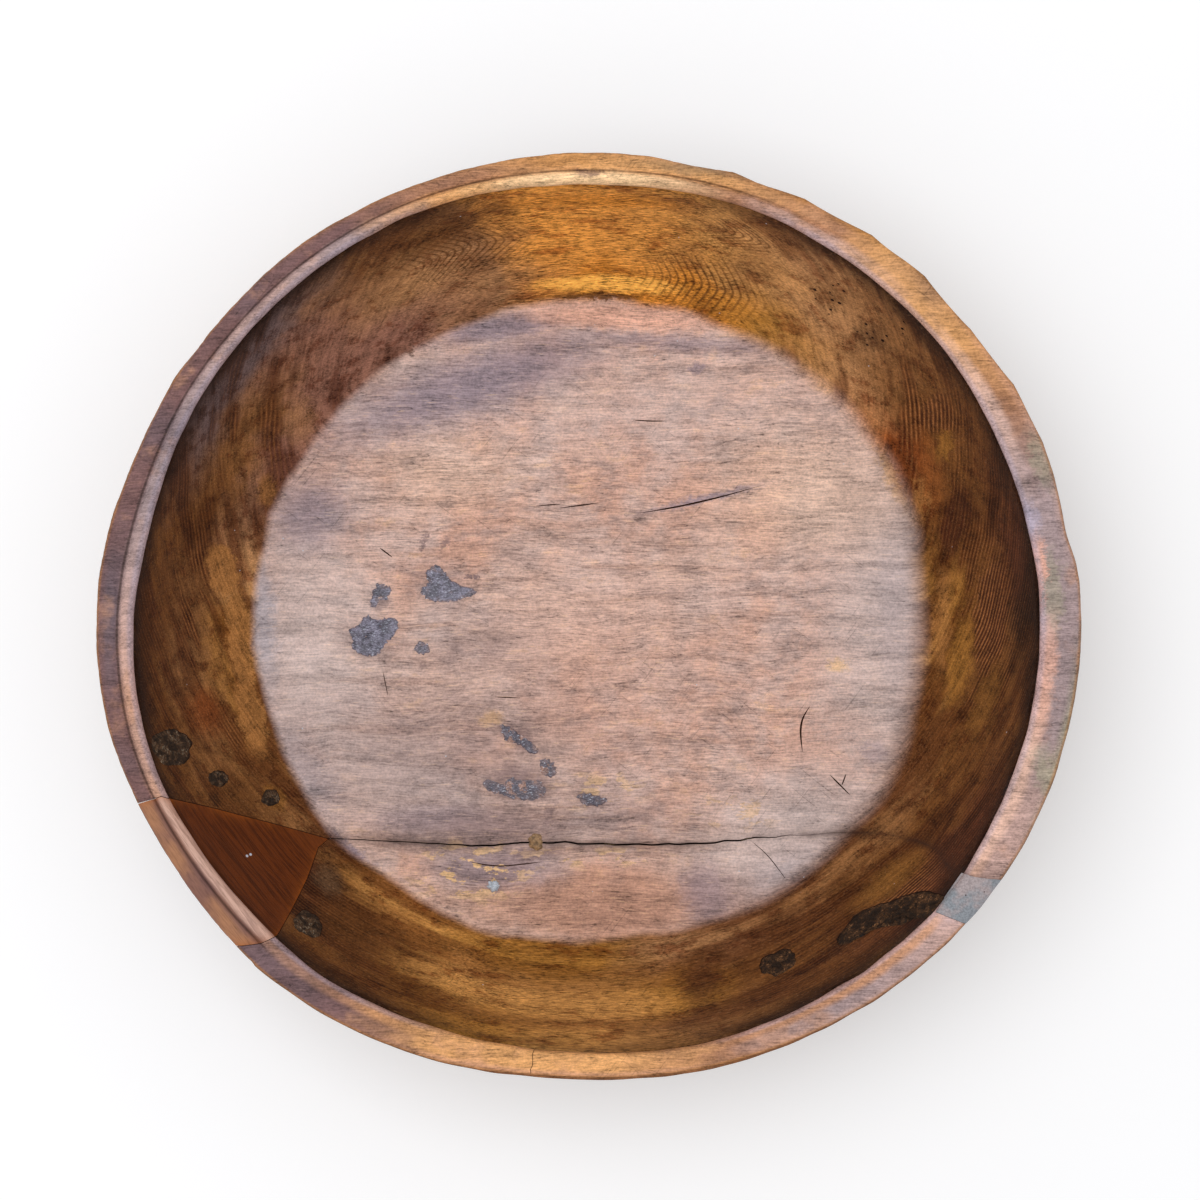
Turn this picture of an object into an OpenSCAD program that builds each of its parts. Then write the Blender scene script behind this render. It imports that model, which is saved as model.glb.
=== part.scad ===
// Oval wooden dough bowl, hewn from one block, split along the grain and mended.
// Millimetres. Z is up, X runs along the grain, and the origin is the middle of the rest face.
// The bowl is drawn round, with the length along the grain as its diameter, and then drawn in to its width.

/* [Bowl] */
// Length over the rim, along the grain
bowl_len = 492; // [440:1:560]
// Width over the rim, across the grain
bowl_wid = 464; // [400:1:540]
// Height from the rest face to the top of the rim
bowl_h = 110; // [95:1:130]
// Length of the flat floor inside
floor_len = 362; // [330:1:380]
// Thickness of the floor
floor_t = 18; // [15:0.5:24]
// How far the rest face stays inside the floor's edge
base_in = 3; // [0:0.5:10]
// Radius of the wall's curve on the inside
wall_curve = 220; // [160:1:400]
// Radius of the wall's curve on the outside
side_curve = 190; // [150:1:240]

/* [Rim] */
// Width of the rim, bead and flat band together
rim_w = 18.5; // [15:0.5:22]
// Width of the round bead along the inner edge
bead_w = 7.6; // [5:0.1:9]
// How far the bead stands out over the wall
bead_over = 0.7; // [0:0.1:2]
// Width of the groove between the bead and the flat band
groove_w = 0.6; // [0.4:0.1:1.5]
// Radius of the flat band's worn edges
band_edge = 2; // [0.5:0.1:3]

/* [Split] */
// Width of the open split
split_gap = 0.4; // [0.2:0.1:1]
// Diameter of the dowels across the split
dowel_d = 8; // [5:0.5:9]
// Length of the dowels
dowel_len = 50; // [30:1:54]
// Diameter of the peg in the split
peg_d = 6.6; // [4:0.1:9]
// Length of the peg below the floor's face
peg_len = 13; // [8:0.5:14]
// Height of the peg's worn head
peg_head_h = 1.2; // [0.5:0.1:3]
// Depth of the two drying checks in the rim
check_depth = 14; // [6:0.5:20]
// Width of the two drying checks
check_w = 0.5; // [0.3:0.1:1]

/* [Patch] */
// Width of the glue line around the rim patch
patch_gap = 0.2; // [0.1:0.05:0.6]
// Diameter of the pins in the patch's sides
pin_d = 5; // [3:0.5:6]
// Length of the pins
pin_len = 24; // [14:1:28]

/* [Fills and knots] */
// Depth of the filler in the rim, from the rim's top
rim_fill_h = 22; // [14:1:34]
// Depth of the dark fill in the wall
wall_fill_depth = 7; // [4:0.5:9]
// Length of that fill along the wall
wall_fill_len = 44; // [30:1:60]
// Width of that fill at its thick end
wall_fill_w = 11; // [6:0.5:14]
// Width of the largest knot
knot_w = 20; // [14:0.5:26]
// Depth of the knots in the wall
knot_depth = 7; // [4:0.5:9]

/* [Drips] */
// Diameter of the largest blob in the pitch drips
drip_d = 20; // [12:0.5:26]
// Height of that blob
drip_h = 1.6; // [0.8:0.1:3]
// Diameter of the pale drop
drop_d = 5; // [3:0.5:8]
// Height of the pale drop
drop_h = 0.6; // [0.3:0.1:1.5]

/* [Fits] */
// Clearance around pegs, dowels, pins, fills and knots
fit = 0.15; // [0.05:0.05:0.4]

/* [Hidden] */
$fn = 180;
// Overrun of every cut past the face that it opens
overrun = 5;

// Half sizes of the bowl as drawn round, and what draws it in to its width
rim_r = bowl_len / 2;
floor_r = floor_len / 2;
base_r = floor_r - base_in;
lip_r = rim_r - rim_w;
oval_share = bowl_wid / bowl_len;

// The bead is round and as high as the flat band, and both stand on a shelf at its middle
bead_r = bead_w / 2;
shelf_z = bowl_h - bead_r;
bead_at = lip_r + bead_r - bead_over;
band_in = bead_at + bead_r + groove_w;

// Unit vector, the vector a quarter turn to its left, and the middle of an arc that runs up from p to q
function unit(v) = v / norm(v);
function left_of(v) = [-v[1], v[0]];
function arc_middle(p, q, r) = (p + q) / 2 + left_of(unit(q - p)) * sqrt(r * r - norm(q - p) * norm(q - p) / 4);

wall_mid = arc_middle([floor_r, floor_t], [lip_r, shelf_z], wall_curve);
side_mid = arc_middle([base_r, 0], [rim_r, shelf_z], side_curve);

// Angles at which the inside curve leaves the floor and reaches the rim
wall_low_angle = atan2(floor_t - wall_mid[1], floor_r - wall_mid[0]);
wall_top_angle = atan2(shelf_z - wall_mid[1], lip_r - wall_mid[0]);
function wall_angle(up_share) = wall_low_angle + up_share * (wall_top_angle - wall_low_angle);
function wall_r(up_share) = wall_mid[0] + wall_curve * cos(wall_angle(up_share));
function wall_z(up_share) = wall_mid[1] + wall_curve * sin(wall_angle(up_share));
// Radius of the outside curve at a height
function side_r(z) = side_mid[0] + sqrt(side_curve * side_curve - (z - side_mid[1]) * (z - side_mid[1]));

// Plan places: from the middle by shares of the floor, and out to the rim by an angle and a share
// that is 0 at the floor's edge and 1 at the rim's outer edge
function floor_place(shares) = floor_r * shares;
function band_place(row) = (floor_r + row[1] * (rim_r - floor_r)) * [cos(row[0]), sin(row[0])];
function draw_in(p) = [p[0], p[1] * oval_share];

// Outline drawn in by a gap on every side, for points in counterclockwise order
function inset(points, gap) =
    let (n = len(points))
    [for (i = [0 : n - 1])
        let (a = left_of(unit(points[i] - points[(i + n - 1) % n])))
        let (b = left_of(unit(points[(i + 1) % n] - points[i])))
        points[i] + gap * (a + b) / (1 + a * b)];

// Share that lies outside the rim
past_share = 1.4;

// The split: across the floor, then up the wall and through the rim
split_floor_shares = [[-0.446, -0.695], [-0.16, -0.692], [0.322, -0.695], [0.558, -0.673]];
split_wall_shares = [[-38.9, 0.14], [-35.4, 0.52], [-36.3, 0.75], [-31.8, past_share]];

// The patch: its tip low on the wall, and its two sides up to the rim
patch_tip_shares = [221.5, 0.07];
patch_upper_shares = [[210.7, 0.46], [204.1, 0.81], [203.2, past_share]];
patch_lower_shares = [
    [220.8, past_share], [226.7, 0.88], [227.4, 0.76], [226.3, 0.61], [224.3, 0.38], [221.6, 0.17]];
patch_plan = concat(
    [band_place(patch_tip_shares)],
    [for (row = patch_upper_shares) band_place(row)],
    [for (row = patch_lower_shares) band_place(row)]);

// What lies in front of the split, out past the rim and back inside the patch
front_turns = [-60, -85, -110, -132, -146];
far_share = 4;
front_plan = concat(
    [for (i = [len(front_turns) - 1 : -1 : 0]) band_place([front_turns[i], far_share])],
    [for (i = [len(split_wall_shares) - 1 : -1 : 0]) band_place(split_wall_shares[i])],
    [for (i = [len(split_floor_shares) - 1 : -1 : 0]) floor_place(split_floor_shares[i])],
    [band_place(patch_tip_shares)]);

// Dowels along the split, as shares of the floor, and the peg
dowel_shares = [-0.44, 0.055, 0.464];
peg_place_shares = [-0.162, -0.692];

// Drying checks in the rim: the angle of each
check_back_angle = 9.8;
check_front_angle = 263.2;

// Pins in the patch's upper and lower side, at this share of the bowl's height
pin_angles = [204.4, 227.2];
pin_up_share = 0.86;

// Outline of the rim's filler, inside and in front of the split
rim_fill_shares = [[-39.3, past_share], [-30, past_share], [-30, 0.5], [-43.6, 0.5]];
rim_fill_plan = [for (row = rim_fill_shares) band_place(row)];

// The wall fill: its angle and height up the wall, its turn from level, and its outline as shares of its
// length and width, blunt at one end and tapered to the other
wall_fill_place_shares = [-49.75, 0.77];
wall_fill_turn = 29;
wall_fill_outline_shares = [
    [0.5, 0], [0.46, 0.3], [0.3, 0.5], [0.05, 0.4], [-0.5, 0.06],
    [-0.5, -0.06], [0, -0.36], [0.3, -0.5], [0.46, -0.3]];
wall_fill_outline = [for (row = wall_fill_outline_shares) [row[0] * wall_fill_len, row[1] * wall_fill_w]];

// Knots and oval fill: angle, height up the wall, and width and height as shares of the largest knot's width
knot_large_shares = [198.3, 0.78, 1, 1.7];
knot_mid_shares = [204.6, 0.51, 0.45, 0.75];
knot_low_shares = [210.5, 0.23, 0.45, 0.64];
knot_front_shares = [229.1, 0.68, 0.78, 1];
oval_fill_shares = [297.3, 0.51, 0.95, 1];

// Flats that the adze left on the outside: angle, and depth as a share of the rim's width
flat_shares = [[9, 0.16], [25, 0.1], [41, 0.14], [60, 0.07], [124, 0.09], [140, 0.21], [160, 0.22], [265, 0.08]];
flat_lean = 17;

// Pitch drips: blobs by place, and diameter as a share of the largest
drip_heart_shares = [[-0.482, 0.118, 0.85], [-0.404, 0.115, 0.85], [-0.442, 0.079, 0.75]];
drip_left_shares = [[-0.664, -0.038, 1], [-0.62, -0.044, 0.9]];
drip_top_shares = [[-0.617, 0.085, 0.6]];
drip_small_shares = [[-0.499, -0.088, 0.4]];
drip_low_shares = [[-0.241, -0.343, 0.65], [-0.202, -0.384, 0.6]];
drip_crack_shares = [[-0.27, -0.524, 0.65], [-0.215, -0.519, 0.75], [-0.165, -0.513, 0.6]];
drip_mid_shares = [[-0.133, -0.46, 0.5]];
drip_flat_shares = [[-0.025, -0.558, 0.33], [0, -0.56, 0.33], [0.025, -0.557, 0.33]];
drop_place_shares = [-0.289, -0.83];

// Draws a round shape in to the bowl's width
module oval() scale([1, oval_share, 1]) children();

// Upright prism over a plan outline, through the whole height
module prism(points) {
    translate([0, 0, -overrun])
        linear_extrude(bowl_h + 2 * overrun)
            polygon(points);
}

// Half section of the hollow
module hollow_half() {
    intersection() {
        translate(wall_mid)
            circle(r = wall_curve);
        translate([0, floor_t])
            square([rim_r, shelf_z - floor_t + overrun]);
    }
}

// Half section of the rim's flat band, with worn edges
module band_half() {
    band_w = rim_r - band_in;
    translate([band_in, shelf_z]) {
        square([band_w, bead_r - band_edge]);
        translate([band_edge, 0])
            square([band_w - 2 * band_edge, bead_r]);
        for (x = [band_edge, band_w - band_edge])
            translate([x, bead_r - band_edge])
                circle(r = band_edge);
    }
}

// Half section of the bowl: floor, wall, bead and band, with an overrun below that the rest face cuts off
module wood_half() {
    difference() {
        intersection() {
            translate(side_mid)
                circle(r = side_curve);
            translate([0, -overrun])
                square([rim_r, shelf_z + overrun]);
        }
        hollow_half();
    }
    translate([bead_at, shelf_z])
        circle(r = bead_r);
    band_half();
}

// One adze flat, which leans with the outside
module adze_flat(angle, depth_share) {
    rotate(angle)
        translate([rim_r - depth_share * rim_w, 0, bowl_h])
            rotate([0, flat_lean, 0])
                translate([0, -rim_r / 2, -bowl_h])
                    cube([rim_w, rim_r, 2 * bowl_h]);
}

// The whole bowl as drawn round, before it is parted
module round_wood() {
    difference() {
        rotate_extrude()
            wood_half();
        for (row = flat_shares)
            adze_flat(row[0], row[1]);
    }
}

// What lies below the rest face
module below_base() {
    translate([-rim_r, -rim_r, -2 * overrun])
        cube([bowl_len, bowl_len, 2 * overrun]);
}

// A drying check: a thin slot down through the rim
module rim_check(angle) {
    rotate(angle)
        translate([lip_r - overrun, -check_w / 2, bowl_h - check_depth])
            cube([rim_w + 2 * overrun, check_w, check_depth + overrun]);
}

// Puts a shape on the wall: its Z runs square into the wood, its X down the wall and its Y along the rim
module on_wall(angle, up_share) {
    rotate(angle)
        translate([wall_r(up_share), 0, wall_z(up_share)])
            rotate([0, 90 - wall_angle(up_share), 0])
                children();
}

// Oval plug set square into the wall, with clear added all round and below
module wall_plug(shares, clear = 0) {
    wide = shares[2] * knot_w + 2 * clear;
    tall = shares[3] * knot_w + 2 * clear;
    on_wall(shares[0], shares[1])
        scale([tall / wide, 1, 1])
            translate([0, 0, -knot_w])
                cylinder(d = wide, h = knot_w + knot_depth + clear);
}

// What a plug fills of the wood
module plug(shares) {
    oval()
        intersection() {
            round_wood();
            wall_plug(shares);
        }
}

// The wall fill's block, to a depth in the wall
module wall_fill_block(points, depth) {
    on_wall(wall_fill_place_shares[0], wall_fill_place_shares[1])
        rotate(90 + wall_fill_turn)
            translate([0, 0, -wall_fill_len])
                linear_extrude(wall_fill_len + depth)
                    polygon(points);
}

// The rim filler's block, from the rim's top down to a depth
module rim_fill_block(points, depth) {
    intersection() {
        prism(points);
        translate([-rim_r, -rim_r, bowl_h - depth])
            cube([bowl_len, bowl_len, depth + overrun]);
    }
}

// Height of the split along Y at a place along X on the floor, on the finished bowl
split_line = concat(
    [draw_in(band_place(patch_tip_shares))],
    [for (row = split_floor_shares) draw_in(floor_place(row))]);

// One dowel across the split, in the middle of the floor's thickness
module dowel(i, clear = 0) {
    x = dowel_shares[i] * floor_r;
    translate([x, lookup(x, split_line), floor_t / 2])
        rotate([90, 0, 0])
            cylinder(d = dowel_d + 2 * clear, h = dowel_len + 2 * clear, center = true);
}

// The peg's shank, from its foot to the floor's face
module peg_shank(clear = 0) {
    p = draw_in(floor_place(peg_place_shares));
    translate([p[0], p[1], floor_t - peg_len - clear])
        cylinder(d = peg_d + 2 * clear, h = peg_len + clear);
}

// One pin in a side of the patch, along the wall in the middle of its thickness
module pin(i, clear = 0) {
    z = pin_up_share * bowl_h;
    inner = wall_mid[0] + sqrt(wall_curve * wall_curve - (z - wall_mid[1]) * (z - wall_mid[1]));
    p = draw_in((inner + side_r(z)) / 2 * [cos(pin_angles[i]), sin(pin_angles[i])]);
    along = draw_in(left_of([cos(pin_angles[i]), sin(pin_angles[i])]));
    translate([p[0], p[1], z])
        rotate(atan2(along[1], along[0]))
            rotate([0, 90, 0])
                cylinder(d = pin_d + 2 * clear, h = pin_len + 2 * clear, center = true);
}

// Bores for the dowels and the peg
module split_bores() {
    for (i = [0 : len(dowel_shares) - 1])
        dowel(i, fit);
    peg_shank(fit);
}

// Low round dome on the floor, centred on a place given as shares of the floor
module dome(place_shares, d, h) {
    p = draw_in(floor_place(place_shares));
    dome_r = (d * d / 4 + h * h) / (2 * h);
    translate([p[0], p[1], floor_t])
        rotate_extrude()
            intersection() {
                translate([0, h - dome_r])
                    circle(r = dome_r);
                square([d, h]);
            }
}

// Pitch drip: low blobs that have run together on the floor
module drip(blobs) {
    color([0.07, 0.045, 0.03])
        for (blob = blobs)
            dome([blob[0], blob[1]], blob[2] * drip_d, blob[2] * drip_h);
}

module bowl_body() {
    color([0.6, 0.42, 0.28])
        difference() {
            oval()
                difference() {
                    round_wood();
                    prism(front_plan);
                    prism(patch_plan);
                    rim_check(check_back_angle);
                    for (knot = [knot_large_shares, knot_mid_shares, knot_low_shares])
                        wall_plug(knot, fit);
                }
            below_base();
            split_bores();
            pin(0, fit);
        }
}

module front_segment() {
    color([0.56, 0.38, 0.22])
        difference() {
            oval()
                difference() {
                    intersection() {
                        round_wood();
                        prism(inset(front_plan, split_gap));
                    }
                    prism(patch_plan);
                    rim_check(check_front_angle);
                    rim_fill_block(rim_fill_plan, rim_fill_h);
                    wall_fill_block(wall_fill_outline, wall_fill_depth);
                    for (oval_plug = [knot_front_shares, oval_fill_shares])
                        wall_plug(oval_plug, fit);
                }
            below_base();
            split_bores();
            pin(1, fit);
        }
}

module rim_patch() {
    color([0.38, 0.2, 0.1])
        difference() {
            oval()
                intersection() {
                    round_wood();
                    prism(inset(patch_plan, patch_gap));
                }
            pin(0, fit);
            pin(1, fit);
        }
}

module split_peg() {
    color([0.2, 0.12, 0.08]) {
        peg_shank();
        dome(peg_place_shares, peg_d, peg_head_h);
    }
}

module split_dowel(i) color([0.75, 0.58, 0.38]) dowel(i);

module patch_pin(i) color([0.75, 0.58, 0.38]) pin(i);

module rim_fill() {
    color([0.5, 0.45, 0.42])
        oval()
            intersection() {
                round_wood();
                prism(inset(front_plan, split_gap));
                rim_fill_block(inset(rim_fill_plan, fit), rim_fill_h - fit);
            }
}

module wall_fill() {
    color([0.16, 0.1, 0.07])
        oval()
            intersection() {
                round_wood();
                wall_fill_block(inset(wall_fill_outline, fit), wall_fill_depth - fit);
            }
}

module oval_fill() color([0.16, 0.1, 0.07]) plug(oval_fill_shares);

module knot(shares) color([0.2, 0.13, 0.09]) plug(shares);

module pale_drop() color([0.72, 0.76, 0.8]) dome(drop_place_shares, drop_d, drop_h);

bowl_body();
front_segment();
rim_patch();
split_peg();
split_dowel(0);  // split_dowel_1
split_dowel(1);  // split_dowel_2
split_dowel(2);  // split_dowel_3
patch_pin(0);  // patch_pin_upper
patch_pin(1);  // patch_pin_lower
rim_fill();
wall_fill();
oval_fill();
knot(knot_large_shares);  // knot_large
knot(knot_mid_shares);  // knot_mid
knot(knot_low_shares);  // knot_low
knot(knot_front_shares);  // knot_front
drip(drip_heart_shares);  // drip_heart
drip(drip_left_shares);  // drip_left
drip(drip_top_shares);  // drip_top
drip(drip_small_shares);  // drip_small
drip(drip_low_shares);  // drip_low
drip(drip_crack_shares);  // drip_crack
drip(drip_mid_shares);  // drip_mid
drip(drip_flat_shares);  // drip_flat
pale_drop();
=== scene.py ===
"""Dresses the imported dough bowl: worn old wood, its split and mends, pitch on the floor, and a plain stage.

All shapes are worked out in millimetres, in the part's own frame, and turned into metres when a mesh is made.
The bowl is drawn round, with its length along the grain as the diameter, and then drawn in to its width.
"""

import math
from functools import partialmethod

import bpy
import numpy as np
from mathutils import Matrix, Vector


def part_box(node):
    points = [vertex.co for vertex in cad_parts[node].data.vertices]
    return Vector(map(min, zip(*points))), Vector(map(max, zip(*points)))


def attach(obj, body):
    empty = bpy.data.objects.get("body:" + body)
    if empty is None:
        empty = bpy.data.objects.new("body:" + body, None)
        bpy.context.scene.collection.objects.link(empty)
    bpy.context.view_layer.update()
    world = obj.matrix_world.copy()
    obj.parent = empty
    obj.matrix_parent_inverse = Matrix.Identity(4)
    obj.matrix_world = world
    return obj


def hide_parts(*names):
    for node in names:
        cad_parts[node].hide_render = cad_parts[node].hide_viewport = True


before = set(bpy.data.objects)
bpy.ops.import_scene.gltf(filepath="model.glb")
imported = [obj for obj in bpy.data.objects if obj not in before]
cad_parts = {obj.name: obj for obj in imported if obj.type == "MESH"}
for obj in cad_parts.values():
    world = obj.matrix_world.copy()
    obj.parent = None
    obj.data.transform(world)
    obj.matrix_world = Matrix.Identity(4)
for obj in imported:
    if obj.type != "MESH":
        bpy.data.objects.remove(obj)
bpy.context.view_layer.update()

bl_info = {
    "name": "Dough bowl",
    "version": (1, 0, 0),
    "blender": (4, 5, 0),
    "location": "3D View > Sidebar > Dough bowl",
    "description": "Builds a worn, split and mended wooden dough bowl on its packed frame",
    "category": "Object",
}

MM = 0.001
FULL_TURN = 2 * math.pi
BODY = "root"

# Where the camera stands and what it looks at, its focal length and film width in millimetres, and how many
# pixels wide the picture is
EYE = Vector((15.5, -38.5, 1408.0))
AIM = Vector((5.6, 7.9, 109.0))
LENS, FILM = 78.0, 36.0
PICTURE = 1200


def paint(red, green, blue):
    """A colour given in screen values up to 255, as the linear values that a shader takes."""
    shares = [v / 255 for v in (red, green, blue)]
    return tuple(v / 12.92 if v <= 0.04045 else ((v + 0.055) / 1.055) ** 2.4 for v in shares)


def size(name, default, description):
    return bpy.props.FloatProperty(
        name=name, description=description, default=default, min=0.0, unit="LENGTH", precision=4)


def tone(name, screen, description):
    return bpy.props.FloatVectorProperty(
        name=name, description=description, default=paint(*screen), subtype="COLOR", size=3, min=0.0, max=1.0)


class BowlSizes(bpy.types.PropertyGroup):
    """Sizes of the worn bowl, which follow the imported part."""

    length: size("Length", 0.492, "Length over the rim, along the grain")
    width: size("Width", 0.464, "Width over the rim, across the grain")
    height: size("Height", 0.110, "Height from the rest face to the top of the rim")
    floor_length: size("Floor length", 0.362, "Length of the flat floor inside")
    floor_thickness: size("Floor thickness", 0.018, "Thickness of the floor")
    base_inset: size("Base inset", 0.003, "How far the rest face stays inside the floor's edge")
    wall_curve: size("Wall curve", 0.220, "Radius of the wall's curve on the inside")
    side_curve: size("Side curve", 0.190, "Radius of the wall's curve on the outside")
    corner: size("Floor corner", 0.006, "Length of the worn round between floor and wall")
    rim_width: size("Rim width", 0.0185, "Width of the rim, bead and flat band together")
    bead_width: size("Bead width", 0.0076, "Width of the round bead along the inner edge")
    bead_over: size("Bead overhang", 0.0007, "How far the bead stands out over the wall")
    groove: size("Groove", 0.0006, "Width of the groove between bead and band")
    split_gap: size("Split", 0.0009, "Width of the open split in the floor")
    patch_gap: size("Patch line", 0.0003, "Width of the glue line around the rim patch")
    plug_depth: size("Plug depth", 0.007, "Depth of knots and fills in the wall")
    rim_fill_depth: size("Rim fill depth", 0.022, "Depth of the filler in the rim")
    ring_gap: size("Growth ring", 0.0030, "Distance between two growth rings")
    fit: size("Fit", 0.00015, "Clearance around pegs, dowels, pins, fills and knots")


class BowlColours(bpy.types.PropertyGroup):
    """Colours of the bowl's woods, fills and pitch."""

    floor_tan: tone("Floor tan", (208, 175, 161), "Dry wood in the middle of the floor")
    # Dry bloom on the wood, partly a painted sheen of the overhead light
    floor_bloom_and_sheen: tone("Floor haze", (206, 187, 182), "Milky bloom towards the floor's edge, partly painted sheen")
    floor_red: tone("Floor red", (202, 158, 139), "Redder wood in the middle of the floor")
    floor_light: tone("Floor light", (228, 192, 170), "Light tan wood at the upper right of the floor")
    floor_brown: tone("Floor brown", (184, 138, 116), "Red-brown wood in front of the split")
    floor_dull: tone("Floor dull", (172, 148, 142), "Dull wood between the dry places")
    floor_slate: tone("Floor slate", (166, 160, 168), "Blue-grey edge of the floor at the left")
    floor_copper: tone("Floor copper", (222, 172, 150), "Copper wood at the floor's far edge")
    floor_stain: tone("Floor stain", (136, 123, 136), "Purple-grey stain on the floor")
    flake: tone("Flake", (222, 182, 136), "Fresh wood where the surface has flaked off")
    worn_orange: tone("Worn orange", (226, 178, 124), "Places worn through to fresh wood")
    # A painted sheen on the gold wall just above the floor
    gold_sheen: tone("Bright gold", (255, 186, 88), "Painted sheen on the bright strip low in the far wall")
    gold: tone("Gold", (238, 162, 76), "Light straight grain in the far wall")
    gold_deep: tone("Deep gold", (204, 130, 50), "Darker straight grain in the far wall")
    olive: tone("Olive", (176, 124, 68), "Light straight grain in the near wall")
    olive_deep: tone("Deep olive", (148, 100, 44), "Darker straight grain in the near wall")
    ochre: tone("Ochre", (158, 113, 76), "Wall at the upper left and right")
    ochre_gold: tone("Golden ochre", (164, 112, 62), "Clear strips low in the end grain")
    russet: tone("Russet", (140, 94, 44), "Low wall of both ends")
    rust: tone("Rust", (132, 70, 32), "Red tint low in the wall")
    brown: tone("Brown", (120, 80, 48), "Brown wall between gold and maroon")
    dusk: tone("Dusk", (126, 86, 72), "Hazy wall at the upper left")
    # A painted reflection of the sky on the upper left wall
    wall_sky_sheen: tone("Sky sheen", (92, 74, 74), "Painted sky reflection on the wall under the rim at the upper left")
    umber: tone("Umber", (94, 57, 27), "Dark wall near the patch and the fills")
    maroon: tone("Maroon", (62, 29, 17), "Dark end grain of both ends")
    ring_line: tone("Ring line", (166, 108, 62), "Fine light lines in the dark end grain")
    # Painted shade under the rim's lip and bead and in the rim's grooves, with some grime in it
    lip_shade: tone("Lip shade", (32, 16, 10), "Painted shade under the rim's inner edge, with some grime")
    # Partly a painted highlight on the bead's top, and the colour of the painted shine on the fibres
    cream_highlight: tone("Rim cream", (248, 206, 158), "Brightest place of the bead at the far side, partly painted highlight")
    # Rubbed wood, partly a painted highlight on the bead and inner edge
    rim_wear_and_highlight: tone("Rim pale", (214, 174, 156), "Rubbed inner edge of the rim, partly painted highlight")
    rim_pink: tone("Rim pink", (190, 156, 146), "Rubbed, slightly dusty rim")
    rim_rose: tone("Rim rose", (220, 166, 146), "Hatched rosy strip at the right")
    rim_copper: tone("Rim copper", (196, 144, 112), "Bare copper tone of the rim")
    rim_amber: tone("Rim amber", (216, 158, 102), "Amber of the near and far rim")
    rim_orange: tone("Rim orange", (164, 110, 54), "Orange outer edge of the near rim")
    rim_brown: tone("Rim brown", (166, 118, 88), "Brown middle of the rim")
    rim_plum: tone("Rim plum", (118, 87, 85), "Plum-coloured flat band on the left")
    rim_grey: tone("Rim grey", (100, 86, 93), "Grey of the flat band and of dusty patches")
    rim_dust: tone("Rim dust", (158, 137, 137), "Dust on both ends of the rim")
    # A painted highlight along the rim's inner edge
    rim_sheen: tone("Rim sheen", (170, 160, 178), "Painted lilac sheen on the rim's inner edge")
    rim_moss: tone("Rim moss", (152, 144, 124), "Grey-green patches on the right rim")
    rim_moss_dark: tone("Dark rim moss", (126, 104, 78), "Olive flecks on the far rim")
    side_brown: tone("Side brown", (112, 72, 46), "Outside of the bowl")
    cut_face: tone("Cut face", (54, 34, 26), "Faces inside splits and grooves")
    patch_red: tone("Patch red", (110, 54, 20), "Newer wood of the rim patch")
    patch_dark: tone("Patch dark", (76, 36, 14), "Darker fibres of the rim patch")
    # A painted highlight where the seams' edges catch the light
    seam: tone("Seam", (168, 90, 30), "Painted highlight along the seams of the patch")
    patch_rim: tone("Patch rim", (132, 94, 82), "The patch's part of the rim")
    knot_dark: tone("Knot", (92, 68, 48), "Crusty knots")
    knot_flake: tone("Knot flakes", (172, 156, 134), "Pale flakes on knots and fills")
    filler_grey: tone("Filler", (168, 154, 154), "Lilac-grey filler in the rim")
    filler_blue: tone("Filler blue", (138, 142, 148), "Blue-grey places of the filler")
    fill_dark: tone("Dark fill", (72, 48, 28), "Dark fills in the wall")
    pitch: tone("Pitch", (136, 132, 150), "Hard pitch drips")
    pitch_dark: tone("Dark pitch", (86, 80, 92), "Thin dark pitch near the split")
    pitch_stain: tone("Pitch stain", (126, 104, 104), "Wood stained around the pitch")
    peg: tone("Peg", (166, 130, 92), "Worn head of the peg")
    dowel: tone("Dowel", (200, 160, 112), "Hidden dowels and pins")
    # Also the colour of the painted glints on the pitch
    glue: tone("Pale drop", (206, 214, 226), "Pale drop, tiny specks and the pitch's painted glints")
    stage: tone("Stage", (244, 244, 245), "Floor that the bowl stands on")


# Small shapes in the plane


def smooth_step(value, low, high):
    t = np.clip((np.asarray(value, float) - low) / (high - low), 0, 1)
    return t * t * (3 - 2 * t)


def rise_and_fall(value, low, risen, high, fallen):
    """0 up to low, 1 from risen to high, and 0 again from fallen, with soft steps between them."""
    return smooth_step(value, low, risen) * (1 - smooth_step(value, high, fallen))


def between(a, b, c, d, t):
    """On a smooth way from b, where t is 0, to c, where it is 1, with a before and d after them."""
    square = 2 * a - 5 * b + 4 * c - d
    cube = 3 * b - a - 3 * c + d
    return 0.5 * (2 * b + (c - a) * t + square * t**2 + cube * t**3)


def flowing(points, closed=False, steps=8):
    """A smooth line through the points given."""
    p = np.asarray(points, float)
    n = len(p)
    spans = n if closed else n - 1
    line = []
    for i in range(spans):
        if closed:
            a, b, c, d = (p[(i + k) % n] for k in (-1, 0, 1, 2))
        else:
            a, b, c, d = (p[min(max(i + k, 0), n - 1)] for k in (-1, 0, 1, 2))
        t = np.arange(steps)[:, None] / steps
        line.append(between(a, b, c, d, t))
    if not closed:
        line.append(p[-1:])
    return np.concatenate(line)


def round_the_bowl(table):
    """A function of the angle, in degrees, that passes smoothly through a table of angles and values."""
    angles = np.array([row[0] for row in table], float)
    values = np.array([row[1] for row in table], float)

    def at(degrees):
        d = np.asarray(degrees, float) % 360
        i = np.searchsorted(angles, d, side="right") - 1
        n = len(angles)
        here, after = i % n, (i + 1) % n
        t = ((d - angles[here]) % 360) / np.maximum((angles[after] - angles[here]) % 360, 1e-6)
        return between(*(values[(i + k) % n] for k in (-1, 0, 1, 2)), t)

    return at


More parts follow.
